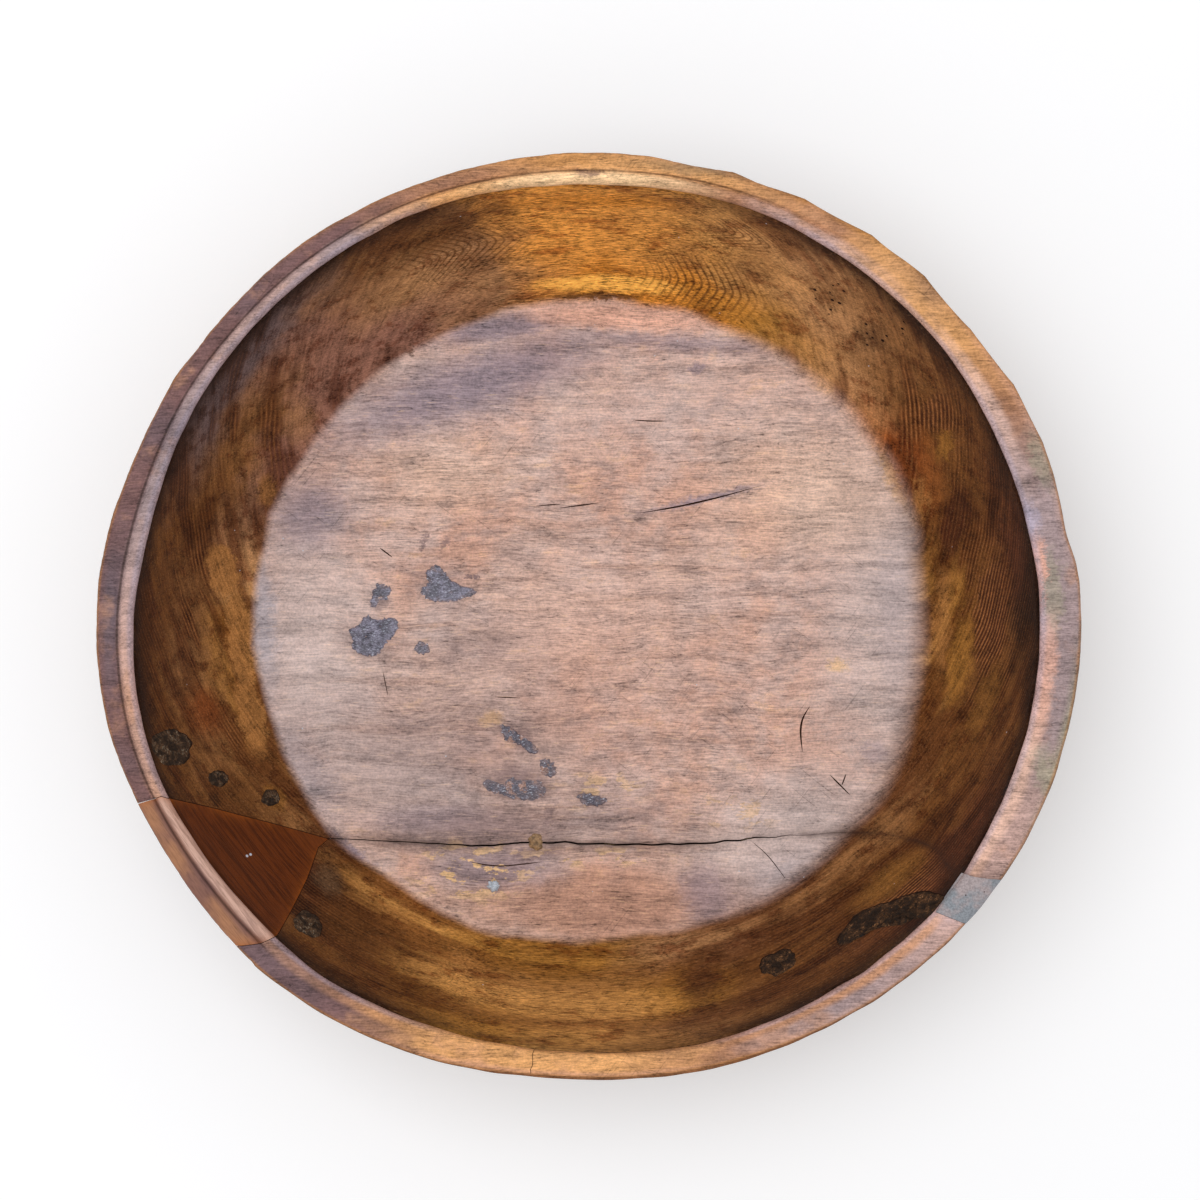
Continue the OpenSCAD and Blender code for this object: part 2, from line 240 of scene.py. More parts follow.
def ripples(places, length, seed, waves=14):
    """Gentle unevenness between about -1 and 1, with bumps of about the length given."""
    rng = np.random.default_rng(seed)
    total = np.zeros(len(places))
    for _ in range(waves):
        way = rng.normal(size=places.shape[1])
        way *= FULL_TURN / (length * rng.uniform(0.6, 1.6) * np.linalg.norm(way))
        total += np.sin(places @ way + rng.uniform(0, FULL_TURN))
    return total / math.sqrt(waves)


def left_of(line):
    """Unit vectors to the left of a line, at each of its points."""
    way = np.gradient(line, axis=0)
    way /= np.linalg.norm(way, axis=1)[:, None]
    return np.stack([-way[:, 1], way[:, 0]], axis=1)


def distance_to(line, places):
    """Distance of each place to a line in plan."""
    best = np.full(len(places), 1e9)
    for a, b in zip(line[:-1], line[1:]):
        way = b - a
        t = np.clip(((places - a) @ way) / max(way @ way, 1e-9), 0, 1)
        best = np.minimum(best, np.linalg.norm(places - a - t[:, None] * way, axis=1))
    return best


# How far the worn outline stands from the plain oval, by angle, in millimetres
OUTLINE = round_the_bowl([
    (0, 0.4), (6, -0.1), (10.5, -3.1), (18, -1.1), (28, 0.2), (40, -1.2), (50, 2.0), (75, 1.7), (95, 1.6),
    (112, 0.6), (127, 0.0), (140, -2.3), (148, -2.2), (160, -2.5), (175, 0.7), (195, 1.9), (210, 0.0),
    (230, 2.7), (252, 0.5), (265, -2.9), (285, -1.1), (310, 1.5), (330, 2.2), (348, 0.6)])
# The same for the rim's inner edge
LIP = round_the_bowl([
    (0, -1.4), (20, -2.1), (40, 0.9), (55, 2.8), (70, 5.4), (90, 3.9), (110, 5.7), (130, 3.2), (150, 0.6),
    (168, -1.2), (180, 1.5), (200, 4.5), (220, 3.4), (235, 5.1), (252, 3.5), (270, 3.6), (283, 5.6),
    (300, 5.2), (320, 5.0), (332, 1.7), (350, -0.4)])
# Facets that the adze left on the upper right edge: the corners between them, in degrees
FACETS = [22, 30, 38.5, 47, 55, 64, 73, 83]
FACET_DEPTH = 1.2
# Between these angles the rim keeps its bead
BEAD_FROM, BEAD_TO = 58.0, 226.5
# Zones of the skin, from the floor's middle over the rim to the base
FLOOR, WALL, RIM, SIDE, BASE = range(5)


class BowlShape:
    """The worn bowl as one closed skin, before it is parted."""

    # Places around a ring, and the radii inside which flat rings have half as many each time
    COLUMNS = 720
    COARSER = (100, 50, 25, 12)
    # The last share of the wall's height before the rim, the base's round edge, and the outline's share there
    WALL_TOP = 0.962
    BASE_EDGE = 2.0
    FOOT_EDGE = 0.3

    def __init__(self, sizes):
        def mm(value):
            return value / MM

        self.rim_r = mm(sizes.length) / 2
        self.oval = sizes.width / sizes.length
        self.high = mm(sizes.height)
        self.floor_r = mm(sizes.floor_length) / 2
        self.floor_z = mm(sizes.floor_thickness)
        self.base_r = self.floor_r - mm(sizes.base_inset)
        self.rim_w = mm(sizes.rim_width)
        self.lip_r = self.rim_r - self.rim_w
        self.bead_r = mm(sizes.bead_width) / 2
        self.bead_over = mm(sizes.bead_over)
        self.groove = mm(sizes.groove)
        self.corner = mm(sizes.corner)
        self.shelf_z = self.high - self.bead_r
        self.wall_curve = mm(sizes.wall_curve)
        self.side_curve = mm(sizes.side_curve)
        self.wall_mid = self.arc_middle(
            (self.floor_r, self.floor_z), (self.lip_r, self.shelf_z), self.wall_curve)
        self.side_mid = self.arc_middle((self.base_r, 0), (self.rim_r, self.shelf_z), self.side_curve)
        self.low_angle = math.atan2(self.floor_z - self.wall_mid[1], self.floor_r - self.wall_mid[0])
        self.top_angle = math.atan2(self.shelf_z - self.wall_mid[1], self.lip_r - self.wall_mid[0])
        self.wall_length = self.wall_curve * (self.top_angle - self.low_angle)

    @staticmethod
    def arc_middle(p, q, r):
        """The middle of an arc of radius r that runs up from p to q."""
        dx, dz = q[0] - p[0], q[1] - p[1]
        chord = math.hypot(dx, dz)
        lift = math.sqrt(r * r - chord * chord / 4) / chord
        return (p[0] + q[0]) / 2 - dz * lift, (p[1] + q[1]) / 2 + dx * lift

    def wall_at(self, up):
        angle = self.low_angle + np.asarray(up, float) * (self.top_angle - self.low_angle)
        middle_r, middle_z = self.wall_mid
        return middle_r + self.wall_curve * np.cos(angle), middle_z + self.wall_curve * np.sin(angle)

    def band_place(self, row):
        """A place in plan by an angle and a share, 0 at the floor's edge and 1 at the rim's outer edge."""
        r, a = self.floor_r + row[1] * (self.rim_r - self.floor_r), math.radians(row[0])
        return np.array([r * math.cos(a), r * math.sin(a) * self.oval])

    def lip_shift(self, up):
        """How much of the lip's offset reaches a height up the wall."""
        return np.clip(up, 0, 1) ** 1.4

    def wall_place(self, degrees, up):
        """Places on the worn wall, by angle and share of the wall's height."""
        degrees, up = np.broadcast_arrays(np.asarray(degrees, float), np.asarray(up, float))
        r, z = self.wall_at(up)
        r = r + LIP(degrees) * self.lip_shift(up)
        a = np.radians(degrees)
        return np.stack([r * np.cos(a), r * np.sin(a) * self.oval, z], axis=-1)

    def profile(self):
        """Rows of the skin from the floor's middle over the rim to the base. Each has its radius and height
        with the bead and worn, how much it takes of the lip's and the outline's offset, and its zone."""
        rows = []

        def add(r, z, worn=None, lip=0.0, edge=0.0, zone=FLOOR):
            rows.append((r, z, *(worn or (r, z)), lip, edge, zone))

        start = self.floor_r - self.corner
        for r in np.concatenate([
                [5, 9], np.arange(13, 25, 4), np.arange(25, 50, 4.2), np.arange(50, 100, 4.2),
                np.linspace(100, start, 20)]):
            add(r, self.floor_z)
        up_end = self.corner / self.wall_length
        end_r, end_z = self.wall_at(up_end)
        for t in np.linspace(0, 1, 6)[1:]:
            r = (1 - t) ** 2 * start + 2 * t * (1 - t) * self.floor_r + t * t * float(end_r)
            z = (1 - t) ** 2 * self.floor_z + 2 * t * (1 - t) * self.floor_z + t * t * float(end_z)
            add(r, z, lip=float(self.lip_shift(t * up_end)), zone=WALL)
        for up in np.linspace(up_end, self.WALL_TOP, 38)[1:]:
            r, z = self.wall_at(up)
            add(float(r), float(z), lip=float(self.lip_shift(up)), zone=WALL)
        beaded = self.beaded_rim()
        for (r, z), worn in zip(beaded, self.worn_rim(len(beaded))):
            across = min(max((r - self.lip_r) / self.rim_w, 0), 1)
            add(r, z, worn, lip=1 - across, edge=across, zone=RIM)
        top = math.atan2(self.shelf_z - self.side_mid[1], self.rim_r - self.side_mid[0])
        foot = math.atan2(self.BASE_EDGE - self.side_mid[1], self.base_r - self.side_mid[0])
        for t in np.linspace(0, 1, 36)[1:]:
            a = top + t * (foot - top)
            r = self.side_mid[0] + self.side_curve * math.cos(a)
            z = self.side_mid[1] + self.side_curve * math.sin(a)
            add(r, z, edge=self.FOOT_EDGE + (1 - self.FOOT_EDGE) * z / self.shelf_z, zone=SIDE)
        add(self.base_r - 0.4, 0.6, edge=self.FOOT_EDGE, zone=BASE)
        add(self.base_r - self.BASE_EDGE, 0, edge=self.FOOT_EDGE, zone=BASE)
        for r in np.concatenate([
                np.linspace(self.base_r - 8, 100, 10), np.arange(94, 50, -7), np.arange(49, 25, -7),
                [24, 18, 13, 9, 5]]):
            add(r, 0, edge=self.FOOT_EDGE * r / self.base_r, zone=BASE)
        return np.array(rows)

    def beaded_rim(self):
        """Section of the rim where its bead is whole."""
        bead_at = self.lip_r + self.bead_r - self.bead_over
        section = []
        for a in np.linspace(208, 32, 13):
            c, s = math.cos(math.radians(a)), math.sin(math.radians(a))
            section.append((bead_at + self.bead_r * c, self.shelf_z + self.bead_r * s))
        inner = bead_at + self.bead_r + self.groove
        section.append((inner - self.groove, self.high - 0.56 * self.bead_r))
        band = self.rim_r - inner
        for share, drop in [
                (0.0, 2.0), (0.05, 1.65), (0.12, 1.3), (0.22, 1.1), (0.36, 1.0), (0.52, 1.0), (0.68, 1.1),
                (0.82, 1.4), (0.91, 1.9), (0.97, 2.7), (1.0, 3.6)]:
            section.append((inner + share * band, self.high - drop))
        return section

    def worn_rim(self, count):
        """Section of the rim where it is worn to a low round band."""
        section = []
        for t in np.linspace(0, 1, count):
            a = math.radians(200 - 212 * t)
            c, s = math.cos(a), math.sin(a)
            r = self.lip_r + self.rim_w * (0.5 + 0.515 * math.copysign(abs(c) ** 0.5, c))
            section.append((r, self.high - 4.6 + 4.1 * math.copysign(abs(s) ** 0.75, s)))
        return section

    def skin(self):
        """Vertices and faces of the whole worn bowl, and for each face 0 inside or 1 on rim and outside."""
        rows = self.profile()
        verts, faces, sides, rings = [], [], [], []
        first = 0
        for row in rows:
            reach, zone = row[0], row[-1]
            count = self.COLUMNS
            for limit in self.COARSER:
                if reach < limit - 0.01 and zone in (FLOOR, BASE):
                    count //= 2
            verts.append(self.ring(row, count))
            rings.append((first, count))
            first += count
        for (a, many), (b, more), row in zip(rings[:-1], rings[1:], rows):
            made = self.stitch(a, many, b, more)
            faces += made
            sides += [int(row[-1] > WALL)] * len(made)
        verts = np.concatenate(verts)
        middle = len(verts)
        ends = np.array([[0, 0, self.floor_z], [0, 0, 0]], float)
        a, many = rings[0]
        faces += [(middle, a + j, a + (j + 1) % many) for j in range(many)]
        b, more = rings[-1]
        faces += [(middle + 1, b + (j + 1) % more, b + j) for j in range(more)]
        return np.concatenate([verts, ends]), faces, sides + [0] * many + [1] * more

    @staticmethod
    def stitch(a, many, b, more):
        """Faces between two rings, of which one may have half as many places as the other."""
        faces = []
        if many == more:
            for j in range(many):
                k = (j + 1) % many
                faces.append((a + j, b + j, b + k, a + k))
        elif more == 2 * many:
            for j in range(many):
                k, mid = (j + 1) % many, 2 * j + 1
                end = b + (mid + 1) % more
                faces += [(a + j, b + 2 * j, b + mid), (a + j, b + mid, a + k), (a + k, b + mid, end)]
        else:
            faces = [(p, r, q) for p, q, r in BowlShape.stitch(b, more, a, many)]
        return faces

    def ring(self, row, count):
        """One ring of the skin, with its wear."""
        r0, z0, worn_r, worn_z, lip, edge, zone = row
        degrees = np.arange(count) * 360 / count
        a = np.radians(degrees)
        bead = rise_and_fall(degrees, BEAD_FROM - 9, BEAD_FROM + 3, BEAD_TO, BEAD_TO + 1.6)
        r = bead * r0 + (1 - bead) * worn_r + lip * LIP(degrees) + edge * OUTLINE(degrees)
        z = np.full(count, bead * z0 + (1 - bead) * worn_z)
        flat = np.stack([r * np.cos(a), r * np.sin(a), z], axis=1)
        if zone == FLOOR:
            z = z + 0.16 * ripples(flat[:, :2], 70, 3) + 0.06 * ripples(flat[:, :2], 19, 4)
        elif zone == WALL:
            r = r + min(lip * 4, 1) * (0.28 * ripples(flat, 46, 5) + 0.1 * ripples(flat, 17, 6))
        elif zone == RIM:
            z = z + 0.35 * ripples(flat[:, :2], 90, 8) + 0.1 * ripples(flat[:, :2], 14, 9) - 0.25
            r = r + 0.18 * ripples(flat, 26, 10)
        if zone in (RIM, SIDE):
            r = r - edge**2 * self.facet_cut(degrees)
        if zone == SIDE:
            r = r - smooth_step(z0, 0, 14) * smooth_step(self.high - z0, 3, 12) * self.adze_cut(degrees, z0)
        if zone in (RIM, SIDE) and edge > 0.9:
            crackle = rise_and_fall(degrees, 236, 246, 288, 300)
            r = r - (0.12 + 0.5 * crackle) * np.maximum(ripples(flat, 5.5, 11), -0.2)
        return np.stack([r * np.cos(a), r * np.sin(a) * self.oval, z], axis=1)

    @staticmethod
    def facet_cut(degrees):
        """Depth of the adze facets on the upper right edge."""
        cut = np.zeros_like(degrees)
        for low, high in zip(FACETS[:-1], FACETS[1:]):
            t = (degrees - low) / (high - low)
            cut += np.where((t > 0) & (t < 1), FACET_DEPTH * (1 - (2 * t - 1) ** 2), 0)
        return cut

    def adze_cut(self, degrees, z):
        """Depth of the shallow scoops that the adze left all over the outside."""
        rng = np.random.default_rng(21)
        cut = np.zeros_like(degrees)
        wide, tall = 6.2, 17.0
        for level in np.arange(4, self.high, 19):
            for turn in np.arange(0, 360, 9.4):
                at = turn + rng.uniform(-2.5, 2.5)
                height = level + rng.uniform(-5, 5)
                depth = rng.uniform(0.5, 1.15)
                across = ((degrees - at + 180) % 360 - 180) / wide
                up = (z - height) / tall
                cut = np.maximum(cut, depth * (1 - across**2 - up**2))
        return cut


# Meshes and carving


def volume_of(verts, faces):
    """Six times the volume inside closed faces, less than zero where they look inwards."""
    total = 0.0
    for corners in sorted({len(face) for face in faces}):
        p = verts[np.array([face for face in faces if len(face) == corners])]
        for k in range(1, corners - 1):
            total += np.sum(np.cross(p[:, k], p[:, k + 1]) * p[:, 0])
    return total


def make_object(name, verts, faces):
    """A new object from places in millimetres, with its faces turned outwards where it is closed."""
    verts = np.asarray(verts, float)
    if volume_of(verts, faces) < 0:
        faces = [tuple(reversed(face)) for face in faces]
    mesh = bpy.data.meshes.new(name)
    mesh.from_pydata((verts * MM).tolist(), [], [tuple(int(i) for i in f) for f in faces])
    mesh.validate()
    piece = bpy.data.objects.new(name, mesh)
    bpy.context.scene.collection.objects.link(piece)
    return piece


def bands(count, layers):
    """Faces between closed lines of places, each line stacked on the one before."""
    faces = []
    for i in range(layers - 1):
        for j in range(count):
            k = (j + 1) % count
            faces.append((i * count + j, i * count + k, (i + 1) * count + k, (i + 1) * count + j))
    return faces


def capped(count, layers, first=0):
    """Faces of a closed bar of such lines, of which the vertex numbers begin with the first."""
    last = (layers - 1) * count
    faces = bands(count, layers) + [range(count - 1, -1, -1), range(last, last + count)]
    return [tuple(first + i for i in face) for face in faces]


def prism(name, levels):
    """A closed block between outlines, each given with its height, from the lowest up."""
    verts = [(p[0], p[1], z) for z, outline in levels for p in outline]
    return make_object(name, verts, capped(len(levels[0][1]), len(levels)))


def heap(name, layers):
    """A closed lump from closed lines of places, with a point in the middle of the first and of the last."""
    count, last = len(layers[0]), (len(layers) - 1) * len(layers[0])
    verts = np.concatenate(layers + [[np.mean(layers[0], axis=0)], [np.mean(layers[-1], axis=0)]])
    faces = bands(count, len(layers))
    top, foot = len(verts) - 2, len(verts) - 1
    for j in range(count):
        k = (j + 1) % count
        faces += [(top, k, j), (foot, last + j, last + k)]
    return make_object(name, verts, faces)


def rod(name, start, end, radius, sides=40):
    """A round bar between two places, used to cut bores."""
    start, end = Vector(start), Vector(end)
    way = (end - start).normalized()
    side = way.cross(Vector((0, 0, 1)) if abs(way.z) < 0.9 else Vector((1, 0, 0))).normalized()
    other = way.cross(side)
    verts = []
    for place in (start, end):
        for j in range(sides):
            a = FULL_TURN * j / sides
            verts.append(tuple(place + radius * (math.cos(a) * side + math.sin(a) * other)))
    return make_object(name, verts, capped(sides, 2))


def carve(name, skin, kept, taken):
    """A copy of the skin, cut down to what the kept cutters hold and without what the taken ones hold."""
    work = bpy.data.objects.new(name, skin.data)
    bpy.context.scene.collection.objects.link(work)
    for operation, cutters in (("INTERSECT", kept), ("DIFFERENCE", taken)):
        for cutter in cutters:
            change = work.modifiers.new("carve", "BOOLEAN")
            change.operation = operation
            change.solver = "MANIFOLD"
            change.material_mode = "TRANSFER"
            change.object = cutter
    bpy.context.view_layer.update()
    shaped = bpy.data.meshes.new_from_object(work.evaluated_get(bpy.context.evaluated_depsgraph_get()))
    work.modifiers.clear()
    work.data = shaped
    shaped.name = name
    if len(shaped.polygons) == 0:
        raise RuntimeError(name + " came out empty")
    return work


def drop(*objects):
    """Removes cutters that have done their work."""
    for thing in objects:
        mesh = thing.data
        bpy.data.objects.remove(thing)
        bpy.data.meshes.remove(mesh)


# Edges that turn by more degrees than this stay sharp: on wood, and on lumps that have cooled or worn round
WOOD_SHARP, LUMP_SHARP = 38.0, 60.0


def places_of(piece):
    co = np.zeros(len(piece.data.vertices) * 3)
    piece.data.vertices.foreach_get("co", co)
    return co.reshape(-1, 3) / MM


def note(piece, name, values):
    """Keeps one number for each vertex, for the finish to read."""
    layer = piece.data.attributes.new(name, "FLOAT", "POINT")
    layer.data.foreach_set("value", np.asarray(values, np.float32))


def settle(piece, node, sharp=WOOD_SHARP):
    """Smooths a piece and sets it on the frame in place of its solid."""
    mesh = piece.data
    mesh.polygons.foreach_set("use_smooth", [True] * len(mesh.polygons))
    mesh.set_sharp_from_angle(angle=math.radians(sharp))
    mesh.update()
    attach(piece, BODY)
    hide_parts(node)


def seat(piece, finish, node, sharp=WOOD_SHARP):
    """Gives a piece its finish and settles it."""
    piece.data.materials.clear()
    piece.data.materials.append(finish)
    settle(piece, node, sharp)


def solid_box(node):
    """Low corner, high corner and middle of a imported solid, in millimetres."""
    low, high = (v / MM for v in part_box(node))
    return low, high, (low + high) / 2


# Places by a point of the picture


def camera_turn():
    """How the camera is turned: it looks down at the bowl, with the far side up in the picture."""
    back = (EYE - AIM).normalized()
    right = Vector((0, 1, 0)).cross(back).normalized()
    return Matrix((right, back.cross(right), back)).transposed()


def sight(px, py, z):
    """The place at height z that the camera sees at a point of the picture."""
    span = FILM / LENS / PICTURE
    ray = camera_turn() @ Vector(((px - PICTURE / 2) * span, (PICTURE / 2 - py) * span, -1.0))
    return np.array(EYE + ray * ((z - EYE.z) / ray.z))


def on_floor(shape, px, py):
    return sight(px, py, shape.floor_z)[:2]


def wall_share(shape, px, py):
    """Angle and share of the wall's height where the camera sees the wall at a point of the picture."""
    low, high = shape.floor_z, shape.shelf_z
    for _ in range(40):
        z = (low + high) / 2
        x, y, _height = sight(px, py, z)
        degrees = math.degrees(math.atan2(y / shape.oval, x))
        angle = math.asin(min(max((z - shape.wall_mid[1]) / shape.wall_curve, -1), 1))
        up = (angle - shape.low_angle) / (shape.top_angle - shape.low_angle)
        r = shape.wall_at(up)[0] + LIP(degrees) * shape.lip_shift(up)
        if math.hypot(x, y / shape.oval) > r:
            low = z
        else:
            high = z
    return degrees, up


def on_wall(shape, px, py):
    """The place on the inside wall that the camera sees at a point of the picture."""
    return shape.wall_place(*wall_share(shape, px, py))


# Lines that part the bowl, in the part's own shares: on the floor by shares of its radius, elsewhere by an
# angle and a share, 0 at the floor's edge and 1 at the rim's outer edge
SPLIT_FLOOR = [
    (-0.446, -0.697), (-0.33, -0.703), (-0.16, -0.692), (0.09, -0.699), (0.322, -0.695), (0.44, -0.684),
    (0.558, -0.673)]
SPLIT_WALL = [(-38.9, 0.14), (-35.4, 0.52), (-36.3, 0.75), (-33.5, 1.12), (-31.8, 1.4)]
PATCH_TIP = (221.5, 0.07)
PATCH_UPPER = [(210.7, 0.46), (204.1, 0.81), (203.2, 1.4)]
PATCH_LOWER = [
    (220.8, 1.4), (225.6, 0.97), (226.7, 0.88), (227.4, 0.76), (226.3, 0.61), (224.3, 0.38), (221.6, 0.17)]
# Angles of the front segment's far outline, well outside the rim
FRONT_TURNS = [-36, -60, -85, -110, -132, -146]
FAR_SHARE = 4
RIM_FILL = [(-39.3, 1.4), (-30, 1.4), (-30, 0.765), (-42.2, 0.8)]
# Cracks in the rim, by angle and width, and their depth
CHECKS = [(263.2, 0.5)]
CHECK_DEPTH = 7.0
# How far the split steps back low in the floor
SPLIT_STEP = 3.0
# The peg's place on the floor, and how much wider its worn head is
PEG = (-0.162, -0.692)
PEG_HEAD = 1.3
DOWELS = ("split_dowel_1", "split_dowel_2", "split_dowel_3")
# The patch's pins, by the angle at which each lies
PINS = {"patch_pin_upper": 204.4, "patch_pin_lower": 227.2}
# How far the dirt of the split and the painted highlight along the patch's seams reach
SPLIT_FADE, SEAM_FADE = 2.2, 2.0
# How far cutters reach out above and below the bowl, and pockets out of the wall
BEYOND = 8.0
PROUD = 6.0


def inset(outline, gap):
    """An outline drawn in by a gap, for points in counterclockwise order."""
    p = np.asarray(outline, float)
    before, after = p - np.roll(p, 1, axis=0), np.roll(p, -1, axis=0) - p
    a, b = (
        np.stack([-way[:, 1], way[:, 0]], axis=1) / np.linalg.norm(way, axis=1)[:, None]
        for way in (before, after))
    return p + gap * (a + b) / (1 + np.sum(a * b, axis=1))[:, None]


def split_line(shape):
    """The split in plan, from the patch's tip to outside the rim, with a little of the grain's waver."""
    floor = [np.array([x, y * shape.oval]) * shape.floor_r for x, y in SPLIT_FLOOR]
    points = [shape.band_place(PATCH_TIP)] + floor + [shape.band_place(row) for row in SPLIT_WALL]
    line = flowing(points, steps=14)
    waver = 0.3 * ripples(line, 16, 31) + 0.08 * ripples(line, 5, 32)
    waver *= smooth_step(np.arange(len(line)), 2, 12)
    return line + left_of(line) * waver[:, None]


def front_outline(shape, side, sizes):
    """What lies in front of the split, up to one side of its gap."""
    line = split_line(shape)
    share = np.linspace(0, 1, len(line))
    open_share = 0.45 + 0.55 * smooth_step(share, 0.0, 0.2) - 0.97 * smooth_step(share, 0.48, 0.66)
    width = sizes.split_gap / MM * open_share
    edge = line + left_of(line) * (side * width / 2)[:, None]
    far = [shape.band_place((turn, FAR_SHARE)) for turn in reversed(FRONT_TURNS)]
    return np.concatenate([far, edge[::-1]])


def front_block(name, shape, side, sizes):
    """A block over the front outline, which steps back low in the floor, so that no light falls through."""
    outline = front_outline(shape, side, sizes)
    low = outline - np.array([0, SPLIT_STEP])
    return prism(name, [
        (-BEYOND, low), (4, low), (shape.floor_z - 3, outline), (shape.high + BEYOND, outline)])


def patch_outline(shape):
    rows = [PATCH_TIP] + PATCH_UPPER + PATCH_LOWER
    return np.array([shape.band_place(row) for row in rows])


def block(name, shape, outline, low=-BEYOND):
    return prism(name, [(low, outline), (shape.high + BEYOND, outline)])


# Cracks and scratches in the floor, by points of the picture, with width and depth in millimetres
FLOOR_LINES = [
    ([(810, 706), (803, 718), (800.6, 732), (802.5, 752)], 0.9, 0.5),
    ([(640, 513), (676, 507), (720, 497), (770, 483)], 0.7, 0.5),
    ([(633, 420), (650, 421), (667, 421)], 0.8, 0.5),
    ([(750, 840), (768, 856), (785, 878)], 0.6, 0.5),
    ([(830, 775), (840, 785), (850, 795)], 0.6, 0.35),
    ([(846, 774), (842, 785)], 0.6, 0.35),
    ([(380, 548), (392, 557)], 0.7, 0.4),
    ([(383, 672), (388, 696)], 0.6, 0.35),
    ([(536, 506), (560, 504)], 0.6, 0.4),
    ([(560, 508), (598, 503)], 0.7, 0.4),
    ([(495, 697), (520, 698)], 0.6, 0.4),
    ([(470, 862), (500, 866), (540, 862)], 0.6, 0.3)]
# Clusters of worm pits in the upper right wall: place in the picture, spread and count
PITS = [((832, 296), 13, 16), ((872, 336), 11, 12), ((905, 332), 8, 5), ((150, 705), 5, 3)]


def groove_cutter(name, shape):
    """Tapered wedges along the floor's cracks and scratches, as one cutter."""
    verts, faces = [], []
    for points, width, depth in FLOOR_LINES:
        line = flowing([on_floor(shape, *p) for p in points], steps=5)
        sides = left_of(line)
        first, count = len(verts), len(line)
        for i, (place, side) in enumerate(zip(line, sides)):
            taper = 0.08 + 0.92 * math.sin(math.pi * (i + 0.25) / (count - 0.5)) ** 0.6
            half = width / 2 * taper
            high, low = shape.floor_z + depth, shape.floor_z - depth * taper
            for p, z in ((place + side * half * 2, high), (place - side * half * 2, high), (place, low)):
                verts.append((p[0], p[1], z))
        faces += capped(3, count, first)
    return make_object(name, verts, faces)


def pit_cutter(name, shape):
    """Small pits in the wall, as one cutter of eight-sided beads."""
    rng = np.random.default_rng(41)
    verts, faces, taken = [], [], []
    corners = np.array([(1, 0, 0), (-1, 0, 0), (0, 1, 0), (0, -1, 0), (0, 0, 1), (0, 0, -1)], float)
    sides = [(0, 2, 4), (2, 1, 4), (1, 3, 4), (3, 0, 4), (2, 0, 5), (1, 2, 5), (3, 1, 5), (0, 3, 5)]
    for (px, py), spread, count in PITS:
        for _ in range(count):
            at = on_wall(shape, px + rng.normal() * spread, py + rng.normal() * spread * 0.7)
            radius = rng.uniform(0.6, 1.5)
            near = [np.linalg.norm(at - other) < 1.5 * (radius + wide) + 0.1 for other, wide in taken]
            if any(near):
                continue
            taken.append((at, radius))
            first = len(verts)
            verts += [tuple(at + radius * c * (1.5, 1, 1)) for c in corners]
            faces += [tuple(first + i for i in side) for side in sides]
    return make_object(name, verts, faces)


def check_cutter(name, shape):
    """Thin wedges down through the rim, where it has dried and cracked."""
    verts, faces = [], []
    for turn, width in CHECKS:
        a = math.radians(turn)
        out, side = np.array([math.cos(a), math.sin(a) * shape.oval]), np.array([-math.sin(a), math.cos(a)])
        first, steps = len(verts), 12
        for i in range(steps):
            r = shape.lip_r - 8 + (shape.rim_w + 5) * i / (steps - 1)
            waver = 0.35 * math.sin(i * 1.7) + 0.2 * math.sin(i * 3.1)
            top, foot = shape.high + 6, shape.high - CHECK_DEPTH
            for half, z in ((width / 2, top), (-width / 2, top), (-width / 6, foot), (width / 6, foot)):
                p = out * r + side * (half + waver)
                verts.append((p[0], p[1], z))
        faces += capped(4, steps, first)
    return make_object(name, verts, faces)


# Knots and fills set into the wall: angle, share of the wall's height, width along it and height up it
KNOTS = {
    "knot_large": (198.3, 0.78, 20.0, 34.0), "knot_mid": (204.6, 0.51, 9.0, 15.0),
    "knot_low": (210.5, 0.23, 9.0, 12.8), "knot_front": (229.1, 0.68, 15.6, 20.0)}
OVAL_FILL = (297.3, 0.51, 19.0, 20.0)
# The long fill's outline, by points of the picture
WALL_FILL = [
    (944, 897), (934, 893), (922, 891.5), (907, 895), (897, 899), (881, 904), (864, 910), (853, 917),
    (846, 927), (837, 939), (843, 945), (858, 939), (871, 931), (885, 927), (901, 925), (913, 919),
    (927, 917), (937, 907)]
# Seeds for the unevenness of the plugs' outlines and skins, the drips and the pale drop
KNOT_OUTLINE, OVAL_OUTLINE = 70, 90
KNOT_SKIN, OVAL_SKIN, LONG_SKIN = 80, 91, 93
DRIP_SKIN, DROP_SKIN = 100, 150


def unit_ring(count):
    """Places around a circle of radius 1."""
    a = np.arange(count) * FULL_TURN / count
    return np.stack([np.cos(a), np.sin(a)], axis=1)


def lumpy_oval(wide, tall, seed):
    """An oval outline with uneven edges."""
    ring = unit_ring(56)
    swell = 1 + 0.09 * ripples(ring, 1.6, seed) + 0.05 * ripples(ring, 0.55, seed + 1)
    return ring * swell[:, None] * np.array([wide, tall]) / 2


def wall_fill(shape):
    """The long fill's place on the wall, and its outline around that place."""
    spots = [wall_share(shape, *point) for point in WALL_FILL]
    turn, up = np.mean(spots, axis=0)
    radius = float(shape.wall_at(up)[0])
    line = [(math.radians(a - turn) * radius, (b - up) * shape.wall_length) for a, b in spots]
    line = flowing(line[::-1], closed=True, steps=4)
    return (turn, up), line + 0.35 * np.stack([ripples(line, 4, 51), ripples(line, 3, 52)], axis=1)


